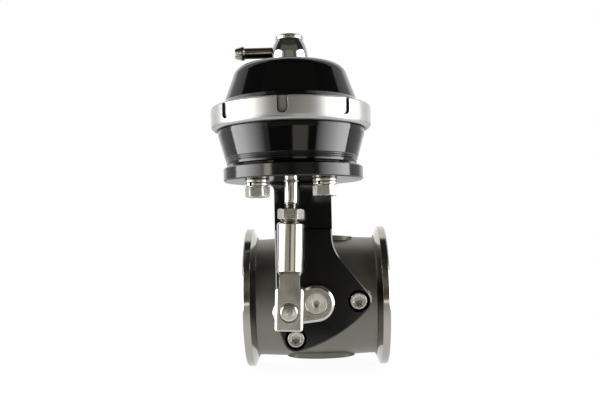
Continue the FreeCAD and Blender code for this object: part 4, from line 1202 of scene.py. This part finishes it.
@dataclass(frozen=True)
class HexBolt:
    """Hexagon head bolt, measured from the seat of its head.

    Attributes:
        radius: the shank's radius.
        width: the head's width across flats.
        height: the head's height.
        length: the shank's length.
        point: how far the shank's end is chamfered.
        step: height of the washer face under the head.
    """

    radius: float = 3.0 * MM
    width: float = 10.0 * MM
    height: float = 5.1 * MM
    length: float = 14.0 * MM
    point: float = 0.4 * MM
    step: float = 0.3 * MM

    def add(self, surface: Surface, axis: Axis, twist: float) -> None:
        """Add the bolt: shank, washer face, chamfered head and a dished top.

        Args:
            surface: the surface to add to.
            axis: through the seat, pointing to the head's top.
            twist: angle of a flat's middle.
        """
        face = 0.47 * self.width
        shank = np.array([(self.radius - self.point, -self.length),
                          (self.radius, -self.length + self.point),
                          (self.radius, 0.0), (face, 0.0), (face, self.step)])
        foot = (hexagon_radius(self.width, twist)[None], np.array([self.step + 0.02 * MM]))
        dish = np.array([(0.44 * self.width, self.height),
                         (0.40 * self.width, self.height - 0.12 * MM)])
        radii, heights = stack(shank.T, foot, hexagon_end(self.width, self.height, True, twist),
                               dish.T)
        surface.rings(axis, radii, heights, Ends.POLES)


@dataclass(frozen=True)
class Barb:
    """Hose barb on an axis: shank, crest with a short land, and taper.

    Attributes:
        start: where the shank begins.
        reach: where the barb ends.
        shank: the shank's radius.
        crest: radius of the crest, which the hose grips.
        tip: radius of the barb's end.
        bore: the bore's radius.
    """

    start: float
    reach: float
    shank: float = 2.65 * MM
    crest: float = 3.4 * MM
    tip: float = 2.45 * MM
    bore: float = 1.5 * MM

    def outline(self) -> Array:
        """Corners of the outside.

        Returns:
            Rows of (radius, height), from the shank's start to the bore's mouth.
        """
        top = self.reach - 3.4 * MM
        return np.array([(self.shank, self.start), (self.shank, top - 1.4 * MM),
                         (self.crest, top - 0.7 * MM), (self.crest, top),
                         (self.tip, self.reach - 0.1 * MM), (self.tip - 0.3 * MM, self.reach),
                         (self.bore + 0.2 * MM, self.reach), (self.bore, self.reach - 0.3 * MM)])


# ------------------------------------------------------------------ sub-assemblies

@dataclass
class Assembly:
    """A group of pieces with the finishes that it draws from.

    Attributes:
        palette: the finishes.
    """

    palette: Palette

    def coat(self, finish: Finish, *nodes: str) -> None:
        """Give frame nodes a finish.

        Args:
            finish: the finish.
            *nodes: the nodes' names.
        """
        for name in nodes:
            dress(frame["nodes"][name], finish)
            LOG.info("node %s: %s", name, finish.name)

    def build(self) -> None:
        """Make and dress the pieces."""
        raise NotImplementedError


@dataclass
class PipeBody(Assembly):
    """Cast body with its bushes, seal, plug and butterfly.

    Attributes:
        disc_screw: the screws that clamp the disc.
        spacing: distance between the two disc screws.
        seat: distance from the disc's middle to their heads' faces.
    """

    disc_screw: SocketScrew = SocketScrew(2.0 * MM, 3.5 * MM, 1.8 * MM, 2.5 * MM, 8.0 * MM)
    spacing: float = 22.0 * MM
    seat: float = 5.4 * MM

    def build(self) -> None:
        """Dress the body and all that turns in it."""
        self.coat(self.palette.casting(), "valve_body")
        self.coat(self.palette.disc_steel(), "butterfly_disc")
        self.coat(self.palette.shaft_steel(), "butterfly_shaft", "rear_plug")
        self.coat(self.palette.bronze(), "shaft_bushes", "thrust_washer")
        self.coat(self.palette.packing(), "shaft_seal")
        screws = Surface()
        for side in (-1, 1):
            place = (-self.seat, side * self.spacing / 2, 0.0)
            self.disc_screw.add(screws, Axis(place, (-1.0, 0.0, 0.0)))
        settle(screws.piece("disc_screws_detailed"), self.palette.bright(), Body.BUTTERFLY,
               "disc_screws")


@dataclass
class Linkage(Assembly):
    """Lever, clevis and pushrod, placed along the leaning rod from the clevis pin.

    Attributes:
        screw: the sunk screw that clamps the lever.
        rod: the pushrod's radius.
        foot: where the rod ends in the clevis.
        clevis_top: the clevis' upper end.
        nut_top: the jam nut's upper end.
        plate: where the rod steps down under the piston.
        head: the rod's upper end.
        pitch: the thread's pitch.
        thread: the thread's depth.
        over: how far the thread shows over the nut.
        nut_width: the jam nut's width across flats.
        nut_cone: corners of the nut's coned foot, in mm from its seat.
        pin_body: corners of the pin's grooved tail, shank and head, in mm.
        pin_dome: points on the pin's domed face, in mm.
        clip_strip: corners of the clip's section, in mm.
        clip_radius: from the pin's axis to the clip's middle.
        clip_level: the clip's height along the pin.
    """

    screw: SocketScrew = SocketScrew(2.5 * MM, 5.0 * MM, 2.5 * MM, 3.0 * MM, 13.0 * MM, True)
    rod: float = 3.175 * MM
    foot: float = 23.83 * MM
    clevis_top: float = 41.83 * MM
    nut_top: float = 48.43 * MM
    plate: float = 74.65 * MM
    head: float = 86.40 * MM
    pitch: float = 0.9 * MM
    thread: float = 0.5 * MM
    over: float = 3.4 * MM
    nut_width: float = 11.1 * MM
    nut_cone: Corners = ((3.2, 0.0), (4.3, 0.0), (4.4, 0.1), (5.25, 1.28))
    pin_body: Corners = ((3.6, -7.95), (4.0, -7.55), (4.0, -7.3), (3.5, -7.3), (3.5, -6.45),
                         (4.0, -6.45), (4.0, 5.15), (4.3, 5.15), (4.3, 5.99))
    pin_dome: Corners = ((4.25, 6.05), (3.45, 6.73), (3.2, 6.81), (1.6, 6.87), (0.2, 6.90))
    clip_strip: Corners = ((-0.8, -0.36), (0.8, -0.36), (0.8, 0.36), (-0.8, 0.36))
    clip_radius: float = 4.38 * MM
    clip_level: float = -6.87 * MM

    def build(self) -> None:
        """Dress the linkage and make its turned pieces."""
        self.coat(self.palette.lever_steel(), "lever")
        self.coat(self.palette.clevis_steel(), "clevis")
        self.lever_screw()
        self.pushrod()
        self.jam_nut()
        self.pin()
        self.clip()

    def lever_screw(self) -> None:
        """Sunk screw that clamps the lever to the shaft."""
        screw = Surface()
        front = float(box_of("lever_screw")[0][1])
        self.screw.add(screw, Axis((0.0, front, 0.0), (0.0, -1.0, 0.0)))
        settle(screw.piece("lever_screw_detailed"), self.palette.grainy(), Body.BUTTERFLY,
               "lever_screw")

    def pushrod(self) -> None:
        """Pushrod with a rolled thread below.

        The radius falls from the rod's own by a triangle wave of (height over pitch less angle
        over a full turn), fading out over the last two turns above the nut.  The wave is
        stretched by 1.15 and cut off at 1, which leaves a narrow flat in the root.
        """
        rows = np.arange(self.foot + 0.5 * MM, self.nut_top + self.over, self.pitch / 8)
        fade = np.clip((rows[-1] - rows) / (2 * self.pitch), 0, 1)[:, None]
        phase = np.mod(rows[:, None] / self.pitch - ring_angles(ROUND) / FULL_TURN, 1.0)
        groove = np.clip(1.15 * (1 - np.abs(2 * phase - 1)), 0, 1)
        plain = np.array([(self.rod, rows[-1] + self.pitch / 8), (self.rod, self.plate),
                          (0.94 * self.rod, self.plate), (0.94 * self.rod, self.head - 0.5 * MM),
                          (0.80 * self.rod, self.head)])
        radii, heights = stack(np.array([[self.rod - self.thread], [self.foot]]),
                               (self.rod - self.thread * fade * groove, rows), plain.T)
        surface = Surface().rings(self.palette.pushrod, radii, heights, Ends.POLES)
        settle(surface.piece("pushrod_detailed"), self.palette.polished(), Body.PUSHROD,
               "actuator_rod")

    def jam_nut(self) -> None:
        """Jam nut: coned foot, hexagon chamfered at both ends, eased bore."""
        top, twist = self.nut_top - self.clevis_top, math.radians(30)
        radii, heights = stack(in_mm(self.nut_cone).T,
                               hexagon_end(self.nut_width, 1.3 * MM, False, twist),
                               hexagon_end(self.nut_width, top, True, twist),
                               np.array([(3.75 * MM, top), (3.2 * MM, top - 0.5 * MM)]).T)
        seat = self.palette.pushrod.shifted(self.clevis_top)
        surface = Surface().rings(seat, radii, heights, Ends.LOOP)
        settle(surface.piece("jam_nut_detailed"), self.palette.bright(), Body.PUSHROD,
               "jam_nut")

    def pin(self) -> None:
        """Clevis pin: grooved tail, shank, and a low domed head with an eased rim."""
        profile = np.vstack([soften(in_mm(self.pin_body), 0.08 * MM), in_mm(self.pin_dome)])
        surface = Surface().turned(self.palette.pin, profile, Ends.POLES)
        settle(surface.piece("clevis_pin_detailed"), self.palette.pin_steel(), Body.PUSHROD,
               "clevis_pin")

    def clip(self) -> None:
        """Open clip: a soft-cornered strip carried round 300 degrees of the pin's groove."""
        turn = np.radians(np.linspace(-60, 240, 61))
        strip = soften(in_mm(self.clip_strip), 0.15 * MM, True)
        clip = Surface().hoop(self.palette.pin, self.clip_radius, turn, self.clip_level, strip)
        settle(clip.piece("pin_clip_detailed"), self.palette.spring(), Body.PUSHROD,
               "pin_clip")


@dataclass
class Mounting(Assembly):
    """Bracket and the screws round it.

    Attributes:
        screw: the screws in the bracket's lugs.
        circle: radius of their circle about the shaft.
        socket_twists: how far each of their sockets is turned, in degrees.
        bolt: the bolts under the top plate.
        twists: how far each bolt's head is turned from a flat facing forward, in degrees.
        seat: distance from the plate to the bolts' heads.
        lift: distance from the plate to the plain washers.
        washer: corners of a plain washer's section, in mm.
        washer_radius: the plain washers' radius.
        split: corners of a split washer's section, in mm about its middle.
        split_radius: from the bolt's axis to the split washer's middle.
        split_level: distance from the plate to the split washer's middle.
        gap: half the angle that the split washer leaves open.
    """

    screw: SocketScrew = SocketScrew(2.5 * MM, 4.25 * MM, 5.0 * MM, 4.0 * MM, 12.0 * MM)
    circle: float = 20.4 * MM
    socket_twists: Point = (14.0, 40.0, 27.0)
    bolt: HexBolt = HexBolt()
    twists: Span = (-4.0, -10.0)
    seat: float = 3.2 * MM
    lift: float = 0.05 * MM
    washer: Corners = ((3.2, 0.0), (5.6, 0.0), (5.6, 1.5), (3.2, 1.5))
    washer_radius: float = 5.6 * MM
    split: Corners = ((-1.2, -0.72), (1.2, -0.72), (1.2, 0.72), (-1.2, 0.72))
    split_radius: float = 4.3 * MM
    split_level: float = 2.4 * MM
    gap: float = 0.12

    def build(self) -> None:
        """Dress the bracket and make its screws."""
        self.coat(self.palette.satin_black(), "bracket")
        self.coat(self.palette.oxide(), "neck_screw")
        self.lug_screws()
        self.plate_bolts()

    def lug_screws(self) -> None:
        """Three socket screws, sunk in the bracket's lugs."""
        screws = Surface()
        face = float(box_of("bracket_screws")[0][1])
        for index, twist in enumerate(self.socket_twists):
            turn = FULL_TURN * index / 3
            place = (self.circle * math.cos(turn), face, self.circle * math.sin(turn))
            self.screw.add(screws, Axis(place, (0.0, -1.0, 0.0)), math.radians(twist))
        settle(screws.piece("bracket_screws_detailed"), self.palette.bright(), Body.HOUSING,
               "bracket_screws")

    def plate_bolts(self) -> None:
        """Two hexagon bolts, each over a split washer and a plain one."""
        low, high = box_of("plain_washers")
        bolts, plain, split = Surface(), Surface(), Surface()
        flat = soften(in_mm(self.washer), 0.3 * MM, True)
        strip = soften(in_mm(self.split), 0.3 * MM, True)
        turn = math.radians(-60) + np.linspace(self.gap, FULL_TURN - self.gap, 73)
        places = (low[0] + self.washer_radius, high[0] - self.washer_radius)
        for x, twist in zip(places, self.twists):
            under = Axis((float(x), float((low[1] + high[1]) / 2), float(high[2])),
                         (0.0, 0.0, -1.0))
            self.bolt.add(bolts, under.shifted(self.seat), math.radians(30 - twist))
            plain.turned(under.shifted(self.lift), flat, Ends.LOOP)
            split.hoop(under, self.split_radius, turn, self.split_level, strip)
        for surface, node in ((bolts, "housing_bolts"), (plain, "plain_washers"),
                              (split, "spring_washers")):
            settle(surface.piece(f"{node}_detailed"), self.palette.bright(), Body.HOUSING,
                   node)


@dataclass(frozen=True)
class Coil:
    """A helical spring of round wire, upright on the actuator's axis.

    Attributes:
        node: the frame node that it stands for.
        radius: from the axis to the wire's middle.
        wire: the wire's radius.
        turns: how many turns it has.
    """

    node: str
    radius: float
    wire: float
    turns: float

    def piece(self, axis: Axis) -> bpy.types.Object:
        """Helix whose height rises evenly between the frame node's two ends.

        Args:
            axis: the actuator's axis.

        Returns:
            The spring.
        """
        low, high = box_of(self.node)
        share = np.linspace(0, 1, int(self.turns * 36) + 1)
        height = low[2] + self.wire + (high[2] - low[2] - 2 * self.wire) * share
        wire = self.wire * np.column_stack([np.cos(ring_angles(14)), np.sin(ring_angles(14))])
        spring = Surface().hoop(axis, self.radius, FULL_TURN * self.turns * share, height, wire)
        return spring.piece(f"{self.node}_detailed")


@dataclass
class Actuator(Assembly):
    """Housing, collar, cap and all inside them.

    Attributes:
        coils: the two springs.
        rubber: corners of the diaphragm's section, in mm.
        rim: radius from which the diaphragm leans with the rod.
        lean: how much further in it leans in full.
    """

    coils: tuple[Coil, ...] = (Coil("outer_spring", 17.5 * MM, 1.4 * MM, 5.0),
                               Coil("inner_spring", 11.5 * MM, 1.1 * MM, 6.0))
    rubber: Corners = ((3.2, 73.05), (22.6, 73.05), (23.4, 73.35), (28.95, 84.2), (29.4, 85.72),
                       (34.5, 85.72), (34.5, 86.98), (28.6, 86.98), (27.6, 85.2), (22.7, 75.0),
                       (21.9, 74.33), (3.2, 74.33))
    rim: float = 29.0 * MM
    lean: float = 6.0 * MM

    def build(self) -> None:
        """Dress the actuator and make its springs and diaphragm."""
        self.coat(self.palette.gloss_black(), "actuator_housing", "actuator_cap")
        self.coat(self.palette.silver(), "locking_collar")
        self.coat(self.palette.plain(), "piston_plate", "piston")
        self.coat(self.palette.bright(), "piston_nut")
        self.coat(self.palette.shaft_steel(), "rod_bush")
        self.coat(self.palette.packing(), "rod_seal")
        for coil in self.coils:
            spring = coil.piece(self.palette.actuator)
            settle(spring, self.palette.spring(), Body.HOUSING, coil.node)
            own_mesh(spring)
        self.diaphragm()

    def diaphragm(self) -> None:
        """Rubber diaphragm: clamped bead, hanging fold and a hub that leans with the rod.

        A point is (1 - w) times its place about the actuator plus w times its place about the
        pushrod, where w goes from 0 at the rim to 1 at the hub.
        """
        outside = soften(in_mm(self.rubber), 1.0 * MM, True)
        radius, height, turn = outside[:, :1], outside[:, 1:], ring_angles(120)
        weight = np.clip((self.rim - radius) / self.lean, 0, 1)[..., None]
        about_housing = self.palette.actuator.place(radius, turn, height)
        rod = self.palette.pushrod
        about_rod = rod.place(radius, turn, (height - rod.origin[2]) / rod.square()[2][2])
        surface = Surface()
        surface.grid(about_housing * (1 - weight) + about_rod * weight, Ends.LOOP)
        piece = surface.piece("diaphragm_detailed", 60.0)
        dress(piece, self.palette.diaphragm())
        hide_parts("diaphragm")
        LOG.info("piece %s: %d faces, across the stroke", piece.name, len(piece.data.polygons))
        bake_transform(piece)


@dataclass
class HoseFittings(Assembly):
    """Swivel fitting on the cap, its hose barb, and the lower port's barb.

    Attributes:
        foot: level of the swivel body's foot.
        barb: height of the barb's axis over it.
        swivel_foot: corners of the swivel body's foot, in mm.
        swivel_top: corners of its top, in mm.
        bolt: corners of the hollow bolt up to its crown, in mm.
        seals: foot and outer radius of each seal.
        seal: inner radius and thickness of a seal.
        port: level of the lower port.
        port_seat: distance from the actuator's axis to the port's spot face.
        port_thread: corners of the port's thread, in mm from the spot face.
        port_width: width across flats of the port's collar.
        port_collar: the collar's thickness.
        port_reach: how far the port's barb stands out of the spot face.
    """

    foot: float = 114.02 * MM
    barb: float = 5.4 * MM
    swivel_foot: Corners = ((5.1, 0.0), (8.8, 0.0), (9.05, 0.2))
    swivel_top: Corners = ((6.8, 11.0), (5.1, 11.0))
    bolt: Corners = ((2.5, 7.0), (2.5, -4.15), (4.6, -4.15), (5.0, -3.75), (5.0, 11.7),
                     (6.8, 11.7), (6.8, 12.3))
    seals: Corners = ((-0.68, 8.25), (11.01, 6.85))
    seal: Span = (5.12, 0.67)
    port: float = 75.3 * MM
    port_seat: float = 31.5 * MM
    port_thread: Corners = ((1.5, -3.5), (4.2, -3.5), (4.6, -3.1), (4.6, 0.0))
    port_width: float = 11.0 * MM
    port_collar: float = 5.0 * MM
    port_reach: float = 20.0 * MM

    def build(self) -> None:
        """Make the fittings."""
        x, y, _ = self.palette.actuator.origin
        self.swivel(Axis((x, y, self.foot)))
        root = Barb(5.4 * MM, 26.0 * MM)
        profile = soften(np.vstack([(root.bore, root.start), root.outline()]), 0.15 * MM, True)
        side = Axis((x, y, self.foot + self.barb), (-1.0, 0.0, 0.0))
        settle(Surface().turned(side, profile, Ends.LOOP).piece("hose_barb_detailed"),
               self.palette.nickel(), Body.HOUSING, "hose_barb")
        self.lower_port(Axis((x, y + self.port_seat, self.port), (0.0, 1.0, 0.0)))

    def swivel(self, axis: Axis) -> None:
        """Swivel body, its hollow bolt and the two seals.

        The body's radius is 9.15 mm less 2.3 times its share of the height to the power 2.6.
        The bolt's crown has the radius 6.8 cos(a)^0.5 at the height 12.3 + 1.69 sin(a), in mm.

        Args:
            axis: the fitting's upright axis, its origin at the body's foot.
        """
        height = np.linspace(0.6, 10.8, 18)
        shoulder = np.column_stack([9.15 - 2.3 * (height / 10.8) ** 2.6, height])
        body = in_mm(np.vstack([self.swivel_foot, shoulder, self.swivel_top]))
        rise = np.linspace(0.05, 1.52, 16)
        crown = np.column_stack([6.8 * np.cos(rise) ** 0.5, 12.3 + 1.69 * np.sin(rise)])
        bolt = np.vstack([soften(in_mm(self.bolt), 0.25 * MM), in_mm(crown)])
        for profile, ends, node in ((body, Ends.LOOP, "banjo_body"),
                                    (bolt, Ends.POLES, "banjo_bolt")):
            settle(Surface().turned(axis, profile, ends).piece(f"{node}_detailed"),
                   self.palette.chrome(), Body.HOUSING, node)
        seals = Surface()
        inner, thick = self.seal
        for foot, outer in self.seals:
            section = in_mm(((inner, foot), (outer, foot), (outer, foot + thick),
                             (inner, foot + thick)))
            seals.turned(axis, soften(section, 0.2 * MM, True), Ends.LOOP)
        settle(seals.piece("banjo_seals_detailed"), self.palette.plain(), Body.HOUSING,
               "banjo_seals")

    def lower_port(self, axis: Axis) -> None:
        """Port fitting: thread in the housing, hexagon collar with chamfered ends, barb.

        Args:
            axis: the port's axis, its origin on the spot face, pointing out of the housing.
        """
        tail = soften(Barb(self.port_collar, self.port_reach).outline(), 0.15 * MM)
        twist = math.radians(30)
        radii, heights = stack(in_mm(self.port_thread).T,
                               hexagon_end(self.port_width, 0.0, False, twist),
                               hexagon_end(self.port_width, self.port_collar, True, twist),
                               tail.T)
        port = Surface().rings(axis, radii, heights, Ends.LOOP)
        settle(port.piece("lower_port_detailed"), self.palette.nickel(), Body.HOUSING,
               "lower_port_fitting")


# ------------------------------------------------------------------ studio

@dataclass(frozen=True)
class Softbox:
    """A rectangular lamp facing the object.

    Attributes:
        name: the lamp's name.
        azimuth: degrees round from the lever side, to the right.
        elevation: degrees above the horizon.
        width: its width.
        height: its height.
        strength: how bright its face is.
        fall: shares of that strength at its two sides.
        run: between which shares of its width the strength changes.
        distance: how far it stands from the object's middle.
        colour: its light's colour.
    """

    name: str
    azimuth: float
    elevation: float
    width: float
    height: float
    strength: float
    fall: Span = (1.0, 1.0)
    run: Span = (0.0, 1.0)
    distance: float = 0.9
    colour: Colour = WHITE

    def hang(self, middle: Array) -> None:
        """Put the lamp at its place, looking at the object's middle.

        Args:
            middle: the object's middle.
        """
        lamp = bpy.data.lights.new(self.name, "AREA")
        lamp.shape = "RECTANGLE"
        lamp.size, lamp.size_y = self.width, self.height
        lamp.energy = self.strength * 4 * self.width * self.height
        lamp.color = self.colour
        self.shade(lamp)
        turn, tilt = math.radians(self.azimuth), math.radians(self.elevation)
        back = np.array((math.sin(turn) * math.cos(tilt), -math.cos(turn) * math.cos(tilt),
                         math.sin(tilt)))
        side = np.cross((0, 0, 1), back)
        side /= np.linalg.norm(side)
        thing = put(self.name, lamp, side, np.cross(back, side), back,
                    middle + self.distance * back)
        thing.visible_camera = False

    def shade(self, lamp: bpy.types.Light) -> None:
        """Let the lamp's brightness run evenly from its one side's share to the other's.

        Args:
            lamp: the lamp.
        """
        lamp.use_nodes = True
        nodes = Nodes(lamp.node_tree)
        glow = next(node for node in nodes.tree.nodes if node.type == "EMISSION")
        across = nodes.parts(nodes.add("ShaderNodeNewGeometry").outputs["Parametric"])[0]
        nodes.feed(glow, Strength=nodes.ramp(across, *self.run, *self.fall))


def put(name: str, data: bpy.types.ID, x_axis: Array, y_axis: Array, z_axis: Array,
        origin: Array) -> bpy.types.Object:
    """Make an object and put it in the scene.

    Args:
        name: its name.
        data: what it shows.
        x_axis: its own X in the scene.
        y_axis: its own Y.
        z_axis: its own Z.
        origin: its place.

    Returns:
        The new object.
    """
    thing = bpy.data.objects.new(name, data)
    columns = np.column_stack([x_axis, y_axis, z_axis, origin])
    thing.matrix_world = Matrix(np.vstack([columns, (0, 0, 0, 1)]).tolist())
    bpy.context.scene.collection.objects.link(thing)
    return thing


@dataclass(frozen=True)
class Wall:
    """A part of the room that the metal mirrors.

    Attributes:
        sides: azimuths in degrees between which it stands, from the lever side to the right.
        levels: elevations in degrees between which it stands.
        light: its colour times its brightness.
        edge: degrees over which its sides fade.
    """

    sides: Span
    levels: Span
    light: Colour
    edge: float = 3.0

    def mask(self, nodes: Nodes, azimuth: Socket, elevation: Socket) -> Socket:
        """1 inside the wall and 0 outside, fading over its edges.

        Args:
            nodes: the world's nodes.
            azimuth: degrees round from the lever side.
            elevation: degrees above the horizon.

        Returns:
            The mask.
        """
        bands = []
        for value, (start, end) in ((azimuth, self.sides), (elevation, self.levels)):
            rise, fall = (nodes.ramp(value, place - self.edge / 2, place + self.edge / 2,
                                     low, 1 - low, interpolation_type="SMOOTHSTEP")
                          for place, low in ((start, 0.0), (end, 1.0)))
            bands.append(nodes.math("MULTIPLY", rise, fall))
        return nodes.math("MULTIPLY", *bands)


@dataclass
class Studio:
    """Floor, lamps, room and camera.

    Attributes:
        walls: parts of the room, each painted over the ones before it.
        softboxes: a large lamp on either side, each dimmer towards the camera, and a low strip.
        dark: what is left of the room.
        floor_level: the floor's height, under the flanges.
        floor_x: where the floor begins and ends along X.
        floor_y: where it begins and ends along Y.
        floor_run: between which Y the floor's glow rises.
        floor_glow: what reflections see of its glow at the two ends of that run.
        floor_light: how bright the glow is to the camera.
        floor_share: share of the glow in what the camera and reflections see of the floor.
        eye: the camera's place.
        yaw: how far it is turned to the right, in radians.
        pitch: how far it looks up.
        roll: how far it is tipped.
        lens: its focal length in mm, for a sensor 36 mm wide.
    """

    walls: tuple[Wall, ...] = (
        Wall((-190, -104), (-95, 66), (0.54, 0.55, 0.54)),
        Wall((108, 190), (-95, 66), (0.54, 0.55, 0.54)),
        Wall((-190, -140), (-95, 70), (1.15, 1.15, 1.13), 8.0),
        Wall((140, 190), (-95, 70), (1.15, 1.15, 1.13), 8.0),
        Wall((-190, -140), (-95, -1), (0.62, 0.63, 0.63)),
        Wall((140, 190), (-95, -1), (0.62, 0.63, 0.63)),
        Wall((-60, 60), (44, 62), (0.05, 0.05, 0.045)),
        Wall((-60, 60), (3, 44), (0.12, 0.12, 0.10)),
        Wall((-32, -13), (-15, 3), (0.46, 0.44, 0.38)),
        Wall((-13, 0), (-15, 3), (0.34, 0.32, 0.27)),
        Wall((4, 29), (-45, -15), (0.80, 0.75, 0.64)),
        Wall((0, 34), (-15, 3), (0.80, 0.75, 0.64)),
        Wall((-24, 24), (13, 29), (0.22, 0.20, 0.16)),
        Wall((-6, 6), (-10, 5), (0.03, 0.03, 0.03)),
        Wall((-11, -4), (-10, -6), (2.6, 2.5, 2.3), 1.0),
        Wall((4, 11), (-10, -6), (2.6, 2.5, 2.3), 1.0))
    softboxes: tuple[Softbox, ...] = (
        Softbox("left_softbox", -67.5, 0, 1.19, 1.1, 4.8, (1.0, 0.05), (0.35, 0.88)),
        Softbox("right_softbox", 72, 0, 1.04, 1.1, 5.0, (0.10, 1.0), (0.0, 0.65)),
        Softbox("brown_strip", -38, 5.5, 0.16, 0.05, 5.0, distance=0.86,
                colour=(1.0, 0.97, 0.78)))
    dark: Colour = (0.03, 0.03, 0.03)
    floor_level: float = -36.6 * MM
    floor_x: Span = (-0.2, 0.2)
    floor_y: Span = (-0.2, 0.6)
    floor_run: Span = (-0.13, -0.05)
    floor_glow: Span = (0.55, 1.0)
    floor_light: float = 1.05
    floor_share: float = 0.9
    eye: Point = (1.389 * MM, -434.794 * MM, 29.722 * MM)
    yaw: float = -0.021
    pitch: float = 0.050
    roll: float = -0.022
    lens: float = 48.35

    def build(self) -> None:
        """Make the whole studio."""
        middle = (np.array(CAD_BOX[0]) + np.array(CAD_BOX[1])) / 2
        self.room()
        self.floor()
        for box in self.softboxes:
            box.hang(middle)
        self.camera()

    def room(self) -> None:
        """World painted by azimuth, atan2(x, -y), and elevation, asin(z); white to the camera."""
        world = bpy.data.worlds.new("studio_room")
        bpy.context.scene.world = world
        world.use_nodes = True
        nodes = Nodes(world.node_tree)
        nodes.tree.nodes.clear()
        x, y, z = nodes.parts(nodes.add("ShaderNodeTexCoord").outputs["Generated"])
        turn = nodes.math("ARCTAN2", x, nodes.math("MULTIPLY", y, -1.0))
        azimuth = nodes.math("MULTIPLY", turn, 180 / math.pi)
        elevation = nodes.math("MULTIPLY", nodes.math("ARCSINE", z), 180 / math.pi)
        light: object = self.dark
        for wall in self.walls:
            light = nodes.blend(wall.mask(nodes, azimuth, elevation), light, wall.light)
        seen = nodes.add("ShaderNodeLightPath").outputs["Is Camera Ray"]
        back = nodes.feed(nodes.add("ShaderNodeBackground"), Color=nodes.blend(seen, light, WHITE))
        nodes.feed(nodes.add("ShaderNodeOutputWorld"), Surface=back.outputs[0])

    def floor(self) -> None:
        """Pale floor under the flanges, nearly white to the camera and to reflections."""
        mesh = bpy.data.meshes.new("floor")
        corners = [(self.floor_x[i], self.floor_y[j], self.floor_level)
                   for i, j in ((0, 0), (1, 0), (1, 1), (0, 1))]
        mesh.from_pydata(corners, [], [(0, 1, 2, 3)])
        floor = bpy.data.objects.new("floor", mesh)
        bpy.context.scene.collection.objects.link(floor)
        shader = Shader("pale_floor")
        shader.feed(shader.surface, Base_Color=(0.9, 0.9, 0.9, 1), Roughness=0.9)
        path = shader.add("ShaderNodeLightPath").outputs
        depth = shader.parts(shader.place)[1]
        bright = shader.math("MAXIMUM", path["Is Camera Ray"],
                             shader.ramp(depth, *self.floor_run, *self.floor_glow))
        glow = shader.feed(shader.add("ShaderNodeEmission"),
                           Strength=shader.math("MULTIPLY", bright, self.floor_light))
        seen = shader.math("MAXIMUM", path["Is Camera Ray"], path["Is Glossy Ray"])
        mixed = shader.add("ShaderNodeMixShader")
        shader.feed(mixed, i0=shader.math("MULTIPLY", seen, self.floor_share),
                    i1=shader.surface.outputs["BSDF"], i2=glow.outputs["Emission"])
        shader.feed(shader.output, Surface=mixed.outputs[0])
        mesh.materials.append(shader.material)

    def camera(self) -> None:
        """Camera on the lever side, turned by yaw, pitch and roll."""
        ahead = np.array((math.sin(self.yaw) * math.cos(self.pitch),
                          math.cos(self.yaw) * math.cos(self.pitch), math.sin(self.pitch)))
        level = np.array((math.cos(self.yaw), -math.sin(self.yaw), 0.0))
        upright = np.cross(level, ahead)
        side = level * math.cos(self.roll) + upright * math.sin(self.roll)
        top = upright * math.cos(self.roll) - level * math.sin(self.roll)
        data = bpy.data.cameras.new("camera")
        data.lens = self.lens
        data.sensor_width = 36.0
        data.clip_start = 0.01
        bpy.context.scene.camera = put("camera", data, side, top, -ahead, np.array(self.eye))


def make_palette() -> Palette:
    """Finishes set about the actuator, the pushrod and the clevis pin.

    Returns:
        The palette.
    """
    x, y, _ = (float(part) for part in middle_of("actuator_cap"))
    pin = middle_of("clevis_pin")
    centre = (float(pin[0]), float(middle_of("actuator_rod")[1]), float(pin[2]))
    slope = tuple(frame["joints"][0]["axis"])
    return Palette(Axis((x, y, 0.0)), Axis(centre, slope), Axis(centre, (0.0, -1.0, 0.0)))


def main() -> None:
    """Build the studio and every sub-assembly."""
    logging.basicConfig(level=logging.INFO, format="%(name)s %(message)s")
    bpy.context.scene.view_settings.view_transform = "Standard"
    Studio().build()
    palette = make_palette()
    for assembly in (PipeBody, Mounting, Linkage, Actuator, HoseFittings):
        LOG.info("sub-assembly %s", assembly.__name__)
        assembly(palette).build()


if __name__ == "__main__":
    main()
